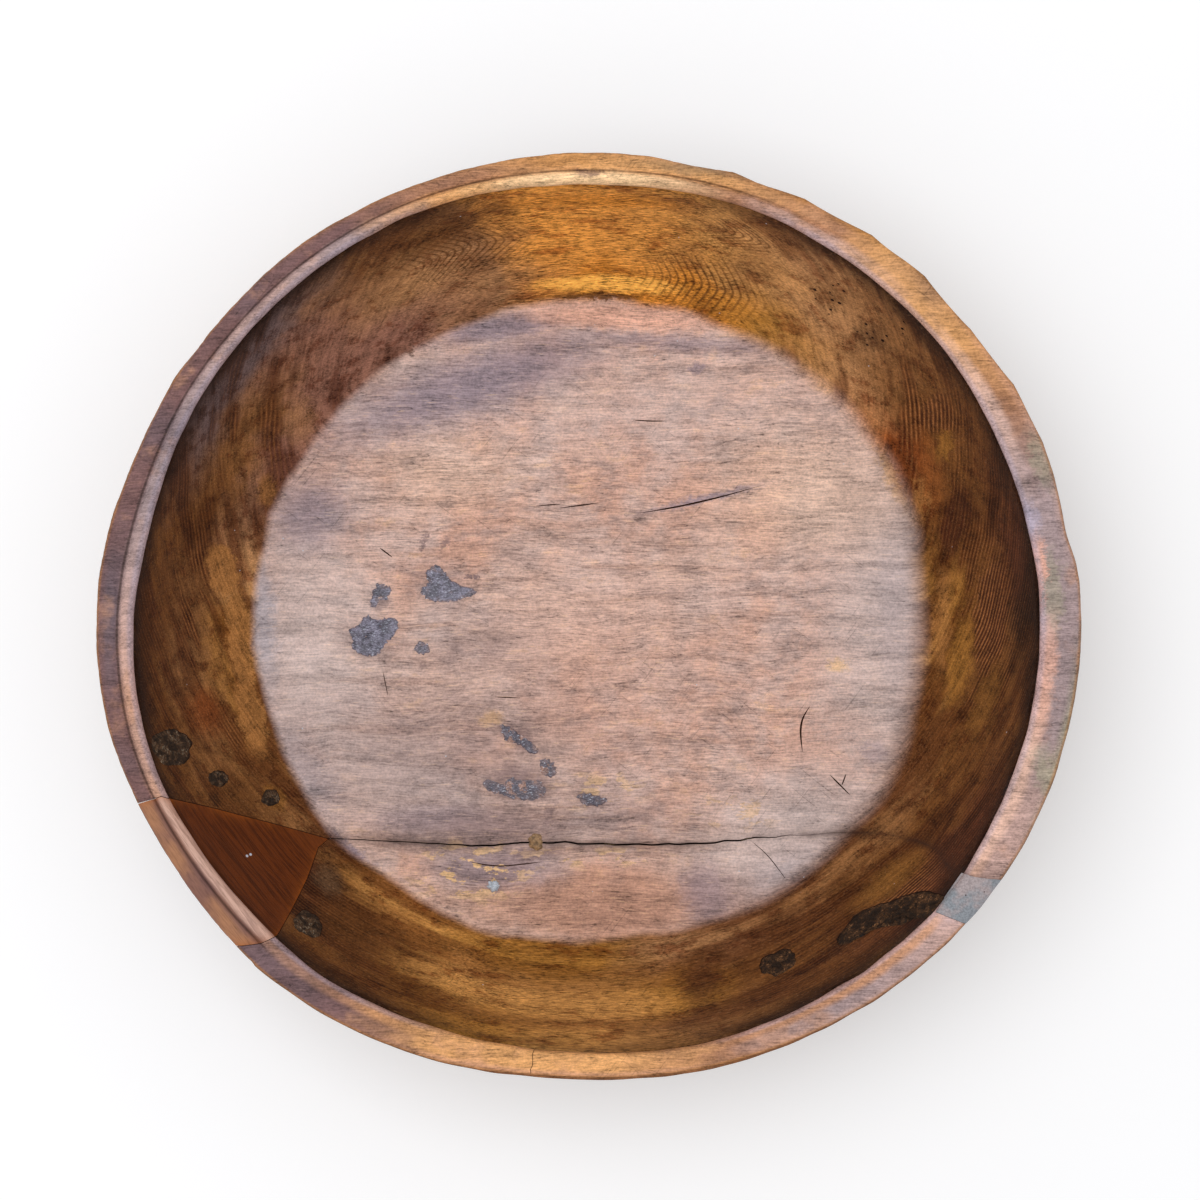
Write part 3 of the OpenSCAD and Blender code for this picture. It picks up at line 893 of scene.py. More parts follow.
def wall_plug(name, shape, place, outline, depth, crust=0.0, seed=0, clear=0.0, proud=None):
    """A plug that follows the wall inside an outline, or its pocket's cutter where proud is given."""
    turn, up = place
    outline = outline * (1 + clear / np.mean(np.linalg.norm(outline, axis=1)))
    slope = shape.low_angle + up * (shape.top_angle - shape.low_angle)
    a = math.radians(turn)
    inward = -np.array([math.cos(slope) * math.cos(a), math.cos(slope) * math.sin(a), math.sin(slope)])
    radius = float(shape.wall_at(up)[0])

    def on_skin(share):
        flat = outline * share
        return shape.wall_place(turn + np.degrees(flat[:, 0] / radius), up + flat[:, 1] / shape.wall_length)

    layers = []
    if proud is None:
        for share in (0.12, 0.26, 0.4, 0.53, 0.65, 0.76, 0.86, 0.94, 1.0):
            skin = on_skin(share)
            lumps = 0.5 + 0.6 * ripples(skin, 5, seed) + 0.5 * ripples(skin, 2.2, seed + 1)
            rise = crust * lumps * (1 - share**5) - 0.35 * share**8
            layers.append(skin + inward * rise[:, None])
    else:
        layers.append(on_skin(1.0) + inward * proud)
    layers.append(on_skin(1.0) - inward * depth * 0.6)
    layers.append(on_skin(0.9 if proud is None else 1.0) - inward * (depth + clear))
    return heap(name, layers)


# Pitch drips on the floor: outlines by points of the picture, and height in millimetres
DRIPS = {
    "drip_heart": ([(435, 565), (445, 572), (453, 582), (477, 592), (463, 598), (451, 602), (432, 601),
        (420, 592), (428, 583), (426, 573)], 0.8),
    "drip_left": ([(367, 615), (376, 620), (390, 617), (398, 622), (395, 634), (384, 646), (378, 655),
        (365, 656), (352, 648), (353, 638), (348, 631), (359, 624)], 1.5),
    "drip_top": ([(376, 585), (386, 584), (392, 592), (388, 599), (380, 601), (376, 607), (370, 606),
        (372, 594)], 0.5),
    "drip_small": ([(421, 642), (427, 644), (430, 651), (424, 655), (416, 652), (416, 645)], 0.3),
    "drip_low": ([(500, 724), (508, 727), (517, 732), (530, 741), (538, 751), (531, 754), (520, 745),
        (506, 741), (502, 732)], 0.7),
    "drip_crack": ([(482, 782), (490, 780), (497, 784), (512, 777), (525, 779), (541, 781), (545, 794),
        (531, 801), (512, 799), (498, 795), (488, 791)], 0.5),
    "drip_mid": ([(540, 760), (549, 760), (555, 766), (554, 775), (546, 777), (541, 771)], 0.4),
    "drip_flat": ([(577, 796), (588, 794), (601, 797), (608, 801), (597, 806), (585, 805)], 0.6)}
PALE_DROP = ([(488, 883), (494, 881), (499, 884), (498, 890), (492, 892), (488, 889)], 0.7)
SUNK = 0.5


def dome(name, shape, points, high, seed, wrinkles):
    """A low drop on the floor inside an outline of the picture, sunk a little into the wood."""
    line = flowing([on_floor(shape, *point) for point in points], closed=True, steps=7)
    line = line + 0.55 * np.stack([ripples(line, 2.6, seed), ripples(line, 1.9, seed + 1)], axis=1)
    middle = line.mean(axis=0)
    layers = []
    for share in (0.14, 0.3, 0.45, 0.58, 0.7, 0.8, 0.88, 0.94, 0.98, 1.0):
        p = middle + (line - middle) * share
        swell = (1 - share**2.4) ** 0.62
        rise = high * swell * (1 + wrinkles * ripples(p, 4.5, seed + 2))
        rise += 0.12 * wrinkles * swell * ripples(p, 1.6, seed + 3)
        layers.append(np.column_stack([p, shape.floor_z + np.maximum(rise, -0.1)]))
    layers.append(np.column_stack([line, np.full(len(line), shape.floor_z - SUNK)]))
    return heap(name, layers)


def peg_mesh(name, shape, radius, foot, head):
    """The peg: a plain shank with a worn, lumpy head."""
    place = np.array([PEG[0], PEG[1] * shape.oval]) * shape.floor_r
    ring = unit_ring(44)
    uneven = 1 + 0.14 * ripples(ring, 1.2, 61)
    layers = []
    for share in (0.15, 0.35, 0.55, 0.73, 0.87, 0.96):
        p = ring * (radius * PEG_HEAD * share * uneven)[:, None]
        z = shape.floor_z + head * (1 - share**2.2) * (1 + 0.3 * ripples(p, 4, 62))
        z = z + 0.1 * ripples(p, 1.8, 63) + 0.18
        layers.append(np.column_stack([p + place, z]))
    top = shape.floor_z
    for share, z in ((0.99, top + 0.06), (0.99, top - 0.4), (0.97, foot + 1.2), (0.75, foot)):
        layers.append(np.column_stack([ring * radius * share + place, np.full(len(ring), z)]))
    return heap(name, layers)


# Finishes


class Tree:
    """A node tree in the making, with short calls for the nodes that it is built from."""

    def __init__(self, tree):
        self.tree = tree
        self.tree.nodes.clear()

    def node(self, kind, given=None, **settings):
        """A new node with its settings, and with what is given to its sockets."""
        made = self.tree.nodes.new("ShaderNode" + kind)
        for name, value in settings.items():
            setattr(made, name, value)
        for socket, value in (given or {}).items():
            self.feed(made.inputs[socket], value)
        return made

    def feed(self, socket, value):
        if isinstance(value, bpy.types.NodeSocket):
            self.tree.links.new(value, socket)
        elif socket.type == "RGBA":
            socket.default_value = (*value[:3], 1.0)
        else:
            socket.default_value = value

    def math(self, operation, *values, clamp=False):
        made = self.node("Math", dict(enumerate(values)), operation=operation, use_clamp=clamp)
        return made.outputs[0]

    times = partialmethod(math, "MULTIPLY")
    plus = partialmethod(math, "ADD")
    minus = partialmethod(math, "SUBTRACT")
    most = partialmethod(math, "MAXIMUM")
    # A value times a factor, and more
    scaled = partialmethod(math, "MULTIPLY_ADD")
    # What a share leaves of 1
    rest = partialmethod(math, "SUBTRACT", 1.0)

    def apart(self, first, second):
        """How far two numbers lie apart."""
        return self.math("ABSOLUTE", self.minus(first, second))


class Finish(Tree):
    """A material in the making, with its shader and with places in millimetres."""

    def __init__(self, name):
        self.material = bpy.data.materials.new(name)
        self.material.use_nodes = True
        super().__init__(self.material.node_tree)
        self.shader = self.node("BsdfPrincipled")
        self.node("OutputMaterial", {"Surface": self.shader.outputs[0]})
        self.place = self.vector("SCALE", self.node("TexCoord").outputs["Object"], scale=1 / MM)

    def vector(self, operation, first, second=None, scale=None):
        given = {0: first, 1: second, "Scale": scale}
        given = {socket: value for socket, value in given.items() if value is not None}
        made = self.node("VectorMath", given, operation=operation)
        return made.outputs["Value" if operation in ("LENGTH", "DOT_PRODUCT") else "Vector"]

    def mix(self, share, under, over, blend="MIX"):
        made = self.node("Mix", {0: share, 6: under, 7: over}, data_type="RGBA", blend_type=blend)
        return made.outputs[2]

    def smooth(self, value, low, high, start=0.0, end=1.0):
        """Goes softly from start, for values at low or beyond, to end, for values at high or beyond."""
        if low > high:
            low, high, start, end = high, low, end, start
        given = {"Value": value, "From Min": low, "From Max": high, "To Min": start, "To Max": end}
        return self.node("MapRange", given, interpolation_type="SMOOTHSTEP").outputs["Result"]

    def noise(self, place, scale=1.0, detail=4.0, rough=0.55, colour=False):
        given = {"Vector": place, "Scale": scale, "Detail": detail, "Roughness": rough}
        return self.node("TexNoise", given).outputs["Color" if colour else "Fac"]

    def stretch(self, place, x, y, z):
        return self.vector("MULTIPLY", place, (x, y, z))

    def turned(self, degrees, shift=(0.0, 0.0, 0.0)):
        """The place after a turn about the upright axis and a shift."""
        given = {"Vector": self.place, "Location": shift, "Rotation": (0.0, 0.0, math.radians(degrees))}
        return self.node("Mapping", given, vector_type="POINT").outputs[0]

    def split(self, place):
        return self.node("SeparateXYZ", {0: place}).outputs

    def join(self, x, y, z):
        return self.node("CombineXYZ", {0: x, 1: y, 2: z}).outputs[0]

    def ramp(self, value, stops):
        """Colours by a number from 0 to 1."""
        made = self.node("ValToRGB", {0: value})
        points = made.color_ramp.elements
        while len(points) < len(stops):
            points.new(1.0)
        for point, (at, colour) in zip(points, stops):
            point.position = at
            point.color = (*colour, 1.0)
        return made.outputs[0]

    def read(self, name):
        return self.node("Attribute", attribute_name=name).outputs["Fac"]

    def blot(self, place, middle, half, turn=0.0, soft=0.6):
        """1 inside an oval around the middle, and 0 outside it."""
        middle, half = np.asarray(middle, float), np.asarray(half, float)
        if turn:
            c, s = math.cos(math.radians(turn)), math.sin(math.radians(turn))
            axes = np.array([(c, s, 0), (-s, c, 0), (0, 0, 1)]) / half[:, None]
            place = self.join(*(self.vector("DOT_PRODUCT", place, tuple(axis)) for axis in axes))
            middle = axes @ middle
        else:
            place, middle = self.vector("MULTIPLY", place, tuple(1 / half)), middle / half
        away = self.vector("LENGTH", self.vector("SUBTRACT", place, tuple(middle)))
        return self.smooth(away, 1.0 - soft, 1.0 + soft * 0.35, 1.0, 0.0)

    def relief(self, height, depth, strength):
        made = self.node("Bump", {"Height": height, "Distance": depth * MM, "Strength": strength})
        self.feed(self.shader.inputs["Normal"], made.outputs[0])

    def surface(self, colour, rough, gloss=0.5):
        self.feed(self.shader.inputs["Base Color"], colour)
        self.feed(self.shader.inputs["Roughness"], rough)
        self.feed(self.shader.inputs["Specular IOR Level"], gloss)
        return self.material


# Marks on the floor by tone, the first under the last. Each has a point of the picture, half width and
# half height there, turn, softness and strength
FLOOR_MARKS = {
    # The milky haze is dry bloom, partly a painted sheen towards the floor's edges
    "floor_bloom_and_sheen": [(300, 640, 80, 210, 0, 0.95, 0.8), (880, 600, 95, 230, 0, 0.95, 0.8),
        (800, 840, 150, 90, 25, 0.9, 0.85), (400, 780, 120, 60, -15, 0.95, 0.6),
        (620, 400, 190, 60, 0, 0.95, 0.45), (795, 815, 80, 40, 20, 0.9, 0.6)],
    "floor_slate": [(264, 620, 85, 15, -85, 0.8, 0.75), (272, 745, 75, 18, -66, 0.8, 0.65),
        (305, 775, 70, 30, -55, 0.9, 0.5), (770, 885, 95, 26, 22, 0.9, 0.45),
        (900, 600, 30, 120, 0, 0.9, 0.35)],
    "floor_red": [(620, 650, 170, 140, 0, 0.95, 0.4)],
    "floor_brown": [(610, 905, 180, 48, 0, 0.7, 0.85)],
    "floor_light": [(815, 490, 120, 75, 0, 0.95, 0.7), (450, 475, 90, 45, 10, 0.95, 0.5)],
    "floor_stain": [(470, 385, 175, 40, 19, 0.8, 0.8), (310, 515, 48, 42, 20, 0.8, 0.65),
        (500, 328, 85, 18, 8, 0.8, 0.8), (670, 342, 150, 12, -4, 0.9, 0.55),
        # The mark at (706, 895) is a painted shadow, a dark upright band at the foot of the near wall
        (495, 868, 76, 26, 0, 0.7, 0.6), (706, 895, 30, 42, 8, 0.8, 0.55), (430, 818, 75, 18, 2, 0.9, 0.5),
        (350, 850, 46, 7, -38, 0.8, 0.8), (705, 498, 70, 5, 13, 0.8, 0.75),
        (874, 752, 13, 12, 0, 0.5, 0.35), (698, 368, 9, 6, 0, 0.5, 0.6)],
    "floor_copper": [(622, 316, 120, 17, -3, 0.6, 0.85)],
    "umber": [(602, 297, 62, 3, 0, 0.6, 0.85)],
    "worn_orange": [(889, 470, 48, 8, -67, 0.8, 0.6), (490, 718, 14, 9, 0, 0.7, 0.7)],
    "flake": [(838, 665, 13, 8, 0, 0.6, 0.7)],
    "pitch_stain": [(520, 782, 50, 26, -10, 0.8, 0.85), (488, 866, 62, 16, 2, 0.7, 0.4),
        (490, 828, 130, 32, 2, 0.95, 0.75), (450, 750, 200, 100, 0, 0.95, 0.45),
        (470, 650, 90, 46, 0, 0.95, 0.4), (590, 815, 110, 34, 0, 0.95, 0.45),
        (518, 738, 34, 16, -35, 0.8, 0.8), (548, 768, 16, 14, 0, 0.8, 0.5),
        (549, 816, 24, 11, 62, 0.7, 0.75), (536, 853, 34, 10, 4, 0.7, 0.75),
        (440, 585, 44, 26, -30, 0.9, 0.45), (374, 636, 36, 30, 0, 0.9, 0.45),
        (424, 542, 4, 13, -12, 0.6, 0.75), (447, 543, 4, 8, -30, 0.6, 0.7), (472, 577, 4, 4, 0, 0.5, 0.9),
        (424, 662, 6, 12, 0, 0.7, 0.45), (382, 604, 11, 8, 0, 0.6, 0.5), (596, 801, 30, 12, -15, 0.8, 0.6),
        (494, 888, 9, 8, 0, 0.7, 0.6)],
    "cut_face": [(405, 351, 10, 5, -25, 0.5, 0.85)]}

# Marks on the wall in the same way, but with half width, depth and height in millimetres
WALL_MARKS = {
    "maroon": [(176, 605, (20, 46, 30), 4, 0.35, 0.3), (250, 510, (12, 20, 20), 0, 0.8, 0.5),
        # The mark at (700, 985) is a painted shadow, the same dark upright band in the near wall
        (700, 985, (13, 16, 26), 0, 0.8, 0.7), (948, 852, (17, 12, 18), 40, 0.5, 0.85),
        (992, 610, (10, 38, 26), -12, 0.4, 0.9), (955, 520, (8, 26, 20), -14, 0.45, 0.8),
        (935, 410, (8, 24, 18), -30, 0.5, 0.7)],
    "ochre_gold": [(222, 570, (9, 18, 16), 24, 0.25, 0.9), (240, 640, (8, 32, 14), 8, 0.25, 0.9),
        (250, 715, (8, 22, 13), 12, 0.3, 0.85), (266, 490, (6, 10, 12), 0, 0.6, 0.6),
        (258, 745, (8, 10, 10), 0, 0.8, 0.6), (920, 500, (5, 22, 10), -10, 0.6, 0.6),
        (942, 620, (6, 32, 12), -4, 0.5, 0.6)],
    "rust": [(205, 712, (15, 15, 16), 0, 0.7, 0.7), (898, 470, (7, 26, 12), -14, 0.7, 0.7)],
    "ochre": [(300, 420, (10, 18, 16), 0, 0.7, 0.6)],
    "lip_shade": [(216, 798, (4, 4.5, 6), 0, 0.5, 0.9), (312, 920, (16, 12, 16), 0, 0.6, 0.55),
        (872, 337, (13, 10, 14), 0, 0.9, 0.5), (850, 935, (14, 7, 10), 30, 0.8, 0.6)],
    "umber": [(236, 800, (18, 16, 18), 0, 0.8, 0.7), (355, 930, (28, 18, 26), -35, 0.8, 0.85),
        (830, 297, (13, 9, 12), 0, 0.9, 0.5), (776, 960, (22, 13, 15), 0, 0.8, 0.6),
        (430, 235, (34, 12, 22), 12, 0.9, 0.6), (360, 295, (34, 24, 26), 35, 0.9, 0.35),
        (602, 296, (33, 4, 2.5), 0, 0.6, 0.85), (500, 208, (16, 8, 9), 0, 0.8, 0.6)],
    "russet": [(275, 798, (9, 8, 8), 0, 0.5, 0.7), (890, 880, (30, 10, 14), 32, 0.8, 0.7),
        (890, 955, (30, 6, 10), 30, 0.8, 0.75), (985, 700, (7, 24, 16), -20, 0.6, 0.5)],
    "knot_dark": [(329, 880, (10, 14, 12), 0, 0.7, 0.8)],
    "brown": [(745, 270, (18, 12, 24), 0, 0.9, 0.5), (680, 205, (18, 7, 9), 0, 0.8, 0.6)],
    # The brightest gold strip is a painted sheen just above the floor
    "gold_sheen": [(612, 283, (44, 9, 7), 0, 0.5, 0.9)],
    "gold_deep": [(600, 200, (52, 8, 8), 0, 0.7, 0.8)],
    "olive": [(580, 1000, (60, 16, 26), 0, 0.9, 0.4)],
    "olive_deep": [(960, 660, (8, 26, 14), -12, 0.5, 0.85), (945, 445, (4, 20, 12), -22, 0.6, 0.7)]}

# The rim's marks, by points of the picture, with half sizes in millimetres
RIM_MARKS = {
    "rim_moss": [(1053, 592, (5, 25, 30), 3, 0.6, 0.6), (1046, 772, (7, 15, 30), 12, 0.7, 0.75),
        (1042, 462, (5, 18, 30), 22, 0.7, 0.65)],
    # The lilac haze marks are painted sheen on the rim's inner edge
    "rim_sheen": [(1031, 520, (6, 11, 30), 15, 0.7, 0.6), (955, 900, (16, 12, 30), 40, 0.7, 0.4)],
    "rim_rose": [(1040, 575, (4, 22, 30), 3, 0.6, 0.9), (1044, 680, (7, 34, 30), -6, 0.7, 0.7)],
    "rim_plum": [(592, 173, (9, 2, 30), 0, 0.7, 0.7)],
    "rim_moss_dark": [(690, 168, (36, 4, 30), -6, 0.8, 0.6)],
    "rim_orange": [(560, 160, (30, 4, 30), 4, 0.8, 0.5)]}

# The wall's tones by share of a turn, counterclockwise from the right: under the lip, half way up and low
# The top row starts and ends with painted shade under the lip
WALL_TOP = [
    (0.0, "lip_shade"), (0.035, "maroon"), (0.085, "umber"), (0.13, "brown"), (0.17, "ochre"),
    # The smoky tone at the upper left is a painted reflection of the sky
    (0.208, "olive"), (0.245, "gold"), (0.27, "gold"), (0.295, "brown"), (0.34, "brown"), (0.375, "wall_sky_sheen"),
    (0.42, "wall_sky_sheen"), (0.46, "umber"), (0.67, "umber"), (0.708, "olive_deep"), (0.75, "olive"),
    (0.79, "brown"), (0.833, "umber"), (0.875, "maroon"), (0.92, "maroon"), (0.958, "umber"),
    (1.0, "lip_shade")]
WALL_MIDDLE = [
    (0.0, "umber"), (0.09, "umber"), (0.12, "brown"), (0.15, "ochre"), (0.2, "olive"), (0.245, "gold"),
    (0.265, "gold"), (0.292, "ochre"), (0.33, "ochre"), (0.365, "dusk"), (0.41, "brown"), (0.46, "umber"),
    (0.5, "brown"), (0.54, "brown"), (0.6, "umber"), (0.628, "maroon"), (0.66, "umber"), (0.7, "olive"),
    (0.755, "olive"), (0.782, "olive_deep"), (0.81, "umber"), (1.0, "umber")]
WALL_LOW = [
    (0.0, "russet"), (0.045, "umber"), (0.085, "rust"), (0.125, "ochre"), (0.17, "olive_deep"),
    (0.21, "gold_deep"), (0.25, "gold_deep"), (0.292, "ochre"), (0.335, "dusk"), (0.42, "dusk"),
    (0.47, "ochre"), (0.5, "russet"), (0.6, "brown"), (0.627, "umber"), (0.66, "olive"),
    (0.708, "olive_deep"), (0.755, "olive_deep"), (0.79, "ochre"), (0.833, "brown"), (0.92, "brown"),
    (1.0, "russet")]
# The rim's tones in the same way, along its inner edge, its middle and its outer edge
# The cream at the far side is a painted highlight on the bead, and the pale tone at the right is partly one
# too
RIM_INNER = [
    (0.0, "rim_dust"), (0.042, "rim_dust"), (0.083, "rim_wear_and_highlight"), (0.125, "rim_amber"), (0.17, "rim_pink"),
    (0.205, "rim_brown"), (0.235, "cream_highlight"), (0.265, "cream_highlight"), (0.295, "rim_amber"),
    (0.333, "rim_dust"), (0.375, "rim_pink"), (0.42, "rim_dust"), (0.46, "rim_dust"), (0.5, "rim_pink"),
    (0.6, "rim_copper"), (0.66, "rim_brown"), (0.71, "rim_amber"), (0.76, "rim_amber"), (0.8, "rim_brown"),
    (0.86, "rim_copper"), (0.917, "rim_wear_and_highlight"), (0.96, "rim_wear_and_highlight"), (1.0, "rim_dust")]
RIM_MIDDLE = [
    (0.0, "rim_dust"), (0.042, "rim_dust"), (0.08, "rim_brown"), (0.11, "rim_amber"), (0.14, "rim_amber"),
    (0.167, "rim_brown"), (0.208, "rim_amber"), (0.25, "rim_amber"), (0.29, "rim_brown"),
    (0.333, "rim_plum"), (0.46, "rim_plum"), (0.5, "rim_grey"), (0.54, "rim_plum"),
    (0.667, "rim_plum"), (0.7, "rim_amber"), (0.76, "rim_amber"), (0.79, "rim_brown"), (0.833, "rim_dust"),
    (0.875, "rim_pink"), (0.92, "rim_pink"), (0.96, "rim_dust"), (1.0, "rim_dust")]
RIM_OUTER = [
    (0.0, "rim_dust"), (0.05, "rim_pink"), (0.09, "rim_copper"), (0.125, "rim_amber"),
    (0.17, "rim_orange"), (0.21, "rim_brown"), (0.25, "rim_amber"), (0.3, "rim_brown"), (0.37, "rim_plum"),
    (0.66, "rim_plum"), (0.7, "rim_copper"), (0.77, "rim_copper"), (0.8, "rim_brown"),
    (0.84, "rim_pink"), (0.92, "rim_pink"), (0.96, "rim_moss"), (1.0, "rim_dust")]
# Where rings turn back in the far wall: a point of the picture, half sizes in millimetres, how flat they turn
HOOKS = [(705, 285, (42, 24, 28), 0.6), (460, 250, (44, 22, 28), 1.3), (745, 236, (26, 14, 16), 2.2)]
HOOK_GAP = 4.2
# Arches that the growth rings draw on the floor: a point of the picture, half sizes in millimetres, how steep
ARCHES = [(712, 720, (30, 26), 0.05), (420, 710, (34, 22), -0.03), (330, 470, (30, 20), 0.02)]
# Where the floor's surface has flaked off: a point of the picture, half width and half height there, how much
FLAKES = [(470, 872, 70, 34, 1.0), (590, 858, 80, 12, 0.7), (600, 790, 50, 22, 0.6), (735, 812, 55, 22, 0.5)]
# Where fine light ring lines show in the dark end grain: a point of the picture and half sizes in millimetres
RING_PLACES = [
    (925, 420, (34, 52, 40)), (985, 620, (20, 60, 40)), (252, 450, (26, 42, 34)), (196, 600, (14, 40, 24)),
    (235, 735, (16, 20, 18)), (905, 890, (30, 26, 28))]
# What dark and light growth bands and dark worn places do to the wall's red, green and blue
DARK_BAND, LIGHT_BAND, WORN_DARK = (0.5, 0.38, 0.32), (1.4, 1.46, 1.4), (0.6, 0.42, 0.36)
# How far out the middle of the wall's thickness lies: at the foot, and more for each millimetre of height
WALL_FOOT, WALL_LEAN = 179.9, 0.5364
# The axis of the tree, beside and above the bowl, around which the growth rings lie
TREE_Y, TREE_Z = -220.0, 480.0
# Millimetres of the floor for one pixel of the picture, and a half height that leaves no place out
FLOOR_PIXEL = 0.5346
ANY_HEIGHT = 1e5


class Grain:
    """What the growth of the tree left in the wood: rings around its axis and fibres along it."""

    def __init__(self, f, ring_gap):
        swing = f.vector("SUBTRACT", f.noise(f.place, 0.013, 2.5, 0.5, colour=True), (0.5, 0.5, 0.5))
        self.bent = f.vector("ADD", f.place, f.vector("MULTIPLY", swing, (6.0, 10.0, 10.0)))
        x, y, z = f.split(self.bent)
        dy, dz = f.minus(y, TREE_Y), f.minus(z, TREE_Z)
        self.far = f.math("SQRT", f.plus(f.times(dy, dy), f.times(dz, dz)))
        self.ring = self.lines(f, self.far, ring_gap * 0.72, 0.3)
        self.hairline = self.lines(f, self.far, ring_gap * 0.36)
        banded = f.join(f.times(self.far, 0.055), f.times(y, 0.011), f.times(z, 0.011))
        self.band = f.noise(banded, 1.0, 3.0, 0.55)
        self.fibres = self.drawn_out(f, 0.12, 1.2, 3.0, 0.62)
        self.strokes = self.drawn_out(f, 0.19, 1.5, 2.0, 0.6)
        self.dashes = self.drawn_out(f, 0.06, 0.6, 2.0, 0.6)
        self.streaks = self.drawn_out(f, 0.011, 0.15, 3.0, 0.6)
        self.veins = f.apart(self.drawn_out(f, 0.03, 0.3, 2.0, 0.5), 0.5)
        self.grit = f.noise(f.place, 0.8, 2.0, 0.7)
        layered = f.join(f.times(self.far, 0.8), f.times(x, 0.03), f.times(f.plus(y, z), 0.035))
        self.layers = f.noise(layered, 1.0, 3.0, 0.6)
        self.cloud = f.noise(f.place, 0.032, 4.0, 0.6)
        self.blotch = self.drawn_out(f, 0.05, 0.1, 6.0, 0.72)
        self.wide = f.noise(f.place, 0.012, 2.0, 0.5)

    def drawn_out(self, f, along, across, detail, rough):
        """Unevenness that is drawn out along the grain."""
        return f.noise(f.stretch(self.bent, along, across, across), 1.0, detail, rough)

    @staticmethod
    def lines(f, far, gap, from_share=0.24):
        """Soft lines at even distances, the thinner the nearer the share is to a half."""
        return f.smooth(f.math("PINGPONG", f.math("DIVIDE", far, gap), 0.5), from_share, 0.46)


def around(f, turn, colours, *tables):
    """Colours by angle, for each of the tables."""
    return [f.ramp(turn, [(at, getattr(colours, name)) for at, name in table]) for table in tables]


def floor_oval(shape, px, py, wide, tall):
    """Middle and half sizes of an oval on the floor, by a point of the picture and half sizes there."""
    return np.append(on_floor(shape, px, py), 0), (wide * FLOOR_PIXEL, tall * FLOOR_PIXEL, ANY_HEIGHT)


def marked_with(f, under, place, marks, colours):
    """Marks laid over what is under them, one tone after the other, and where the first tone lies."""
    first = None
    for name, rows in marks.items():
        mask = 0.0
        for middle, half, twist, soft, strength in rows:
            mask = f.most(f.times(f.blot(place, middle, half, twist, soft), strength), mask)
        under = f.mix(mask, under, getattr(colours, name))
        first = mask if first is None else first
    return under, first


def placed(marks, spot):
    """Marks whose point of the picture has become a place of the bowl."""
    return {name: [(spot(px, py), *more) for px, py, *more in rows] for name, rows in marks.items()}


def near_turn(f, turn, middle, wide):
    """1 near an angle, given as a share of a full turn, and 0 further away than the width."""
    return f.smooth(f.apart(turn, middle), wide, wide * 0.3)


def dark_share(f, colour):
    """1 where a colour is dark."""
    return f.smooth(f.node("RGBToBW", {0: colour}).outputs[0], 0.09, 0.03)


def wall_colour(f, g, turn, z, straight, shape, colours, marked):
    """Tones by angle and height, growth bands, old stains, ring lines where the wood is dark, and painted
    shade under the lip.
    """
    low, middle, top = around(f, turn, colours, WALL_LOW, WALL_MIDDLE, WALL_TOP)
    up = f.plus(z, f.scaled(g.cloud, 44.0, -22.0))
    wall = f.mix(f.smooth(up, 32.0, 52.0), low, middle)
    wall = f.mix(f.smooth(up, 60.0, 84.0), wall, top)
    banded = f.mix(
        f.smooth(g.band, 0.44, 0.56), f.mix(1.0, wall, DARK_BAND, "MULTIPLY"),
        f.mix(1.0, wall, LIGHT_BAND, "MULTIPLY"))
    wall = f.mix(f.scaled(straight, -0.65, 0.85), wall, banded)
    wall = f.mix(f.smooth(g.blotch, 0.5, 0.36, 0.0, 0.75), wall, WORN_DARK, "MULTIPLY")
    marks = placed(WALL_MARKS, lambda px, py: on_wall(shape, px, py))
    wall = marked_with(f, wall, marked, marks, colours)[0]
    seen = 0.2
    for px, py, half in RING_PLACES:
        seen = f.most(f.blot(marked, on_wall(shape, px, py), half, 0.0, 0.8), seen)
    seen = f.times(f.times(dark_share(f, wall), seen), f.rest(straight))
    wall = f.mix(f.times(f.times(g.ring, seen), 0.8), wall, colours.ring_line)
    wall = f.mix(f.times(f.times(g.hairline, seen), 0.3), wall, colours.ring_line)
    bent_x, _bent_y, bent_z = f.split(g.bent)
    for px, py, half, flat in HOOKS:
        middle = on_wall(shape, px, py)
        rise = f.minus(bent_z, float(middle[2]))
        rise = f.math("SQRT", f.scaled(rise, rise, 10.0))
        hook = g.lines(f, f.scaled(rise, flat, bent_x), HOOK_GAP)
        hook = f.times(hook, f.blot(marked, middle, half, 0.0, 0.7))
        wall = f.mix(f.times(hook, 0.7), wall, colours.umber)
    # Painted shade under the lip, weaker on the straight grain of the far and near walls
    lip = f.smooth(f.scaled(g.cloud, 16.0, z), 94.0, 113.0)
    return f.mix(f.times(lip, f.scaled(straight, -0.7, 0.9)), wall, colours.lip_shade)


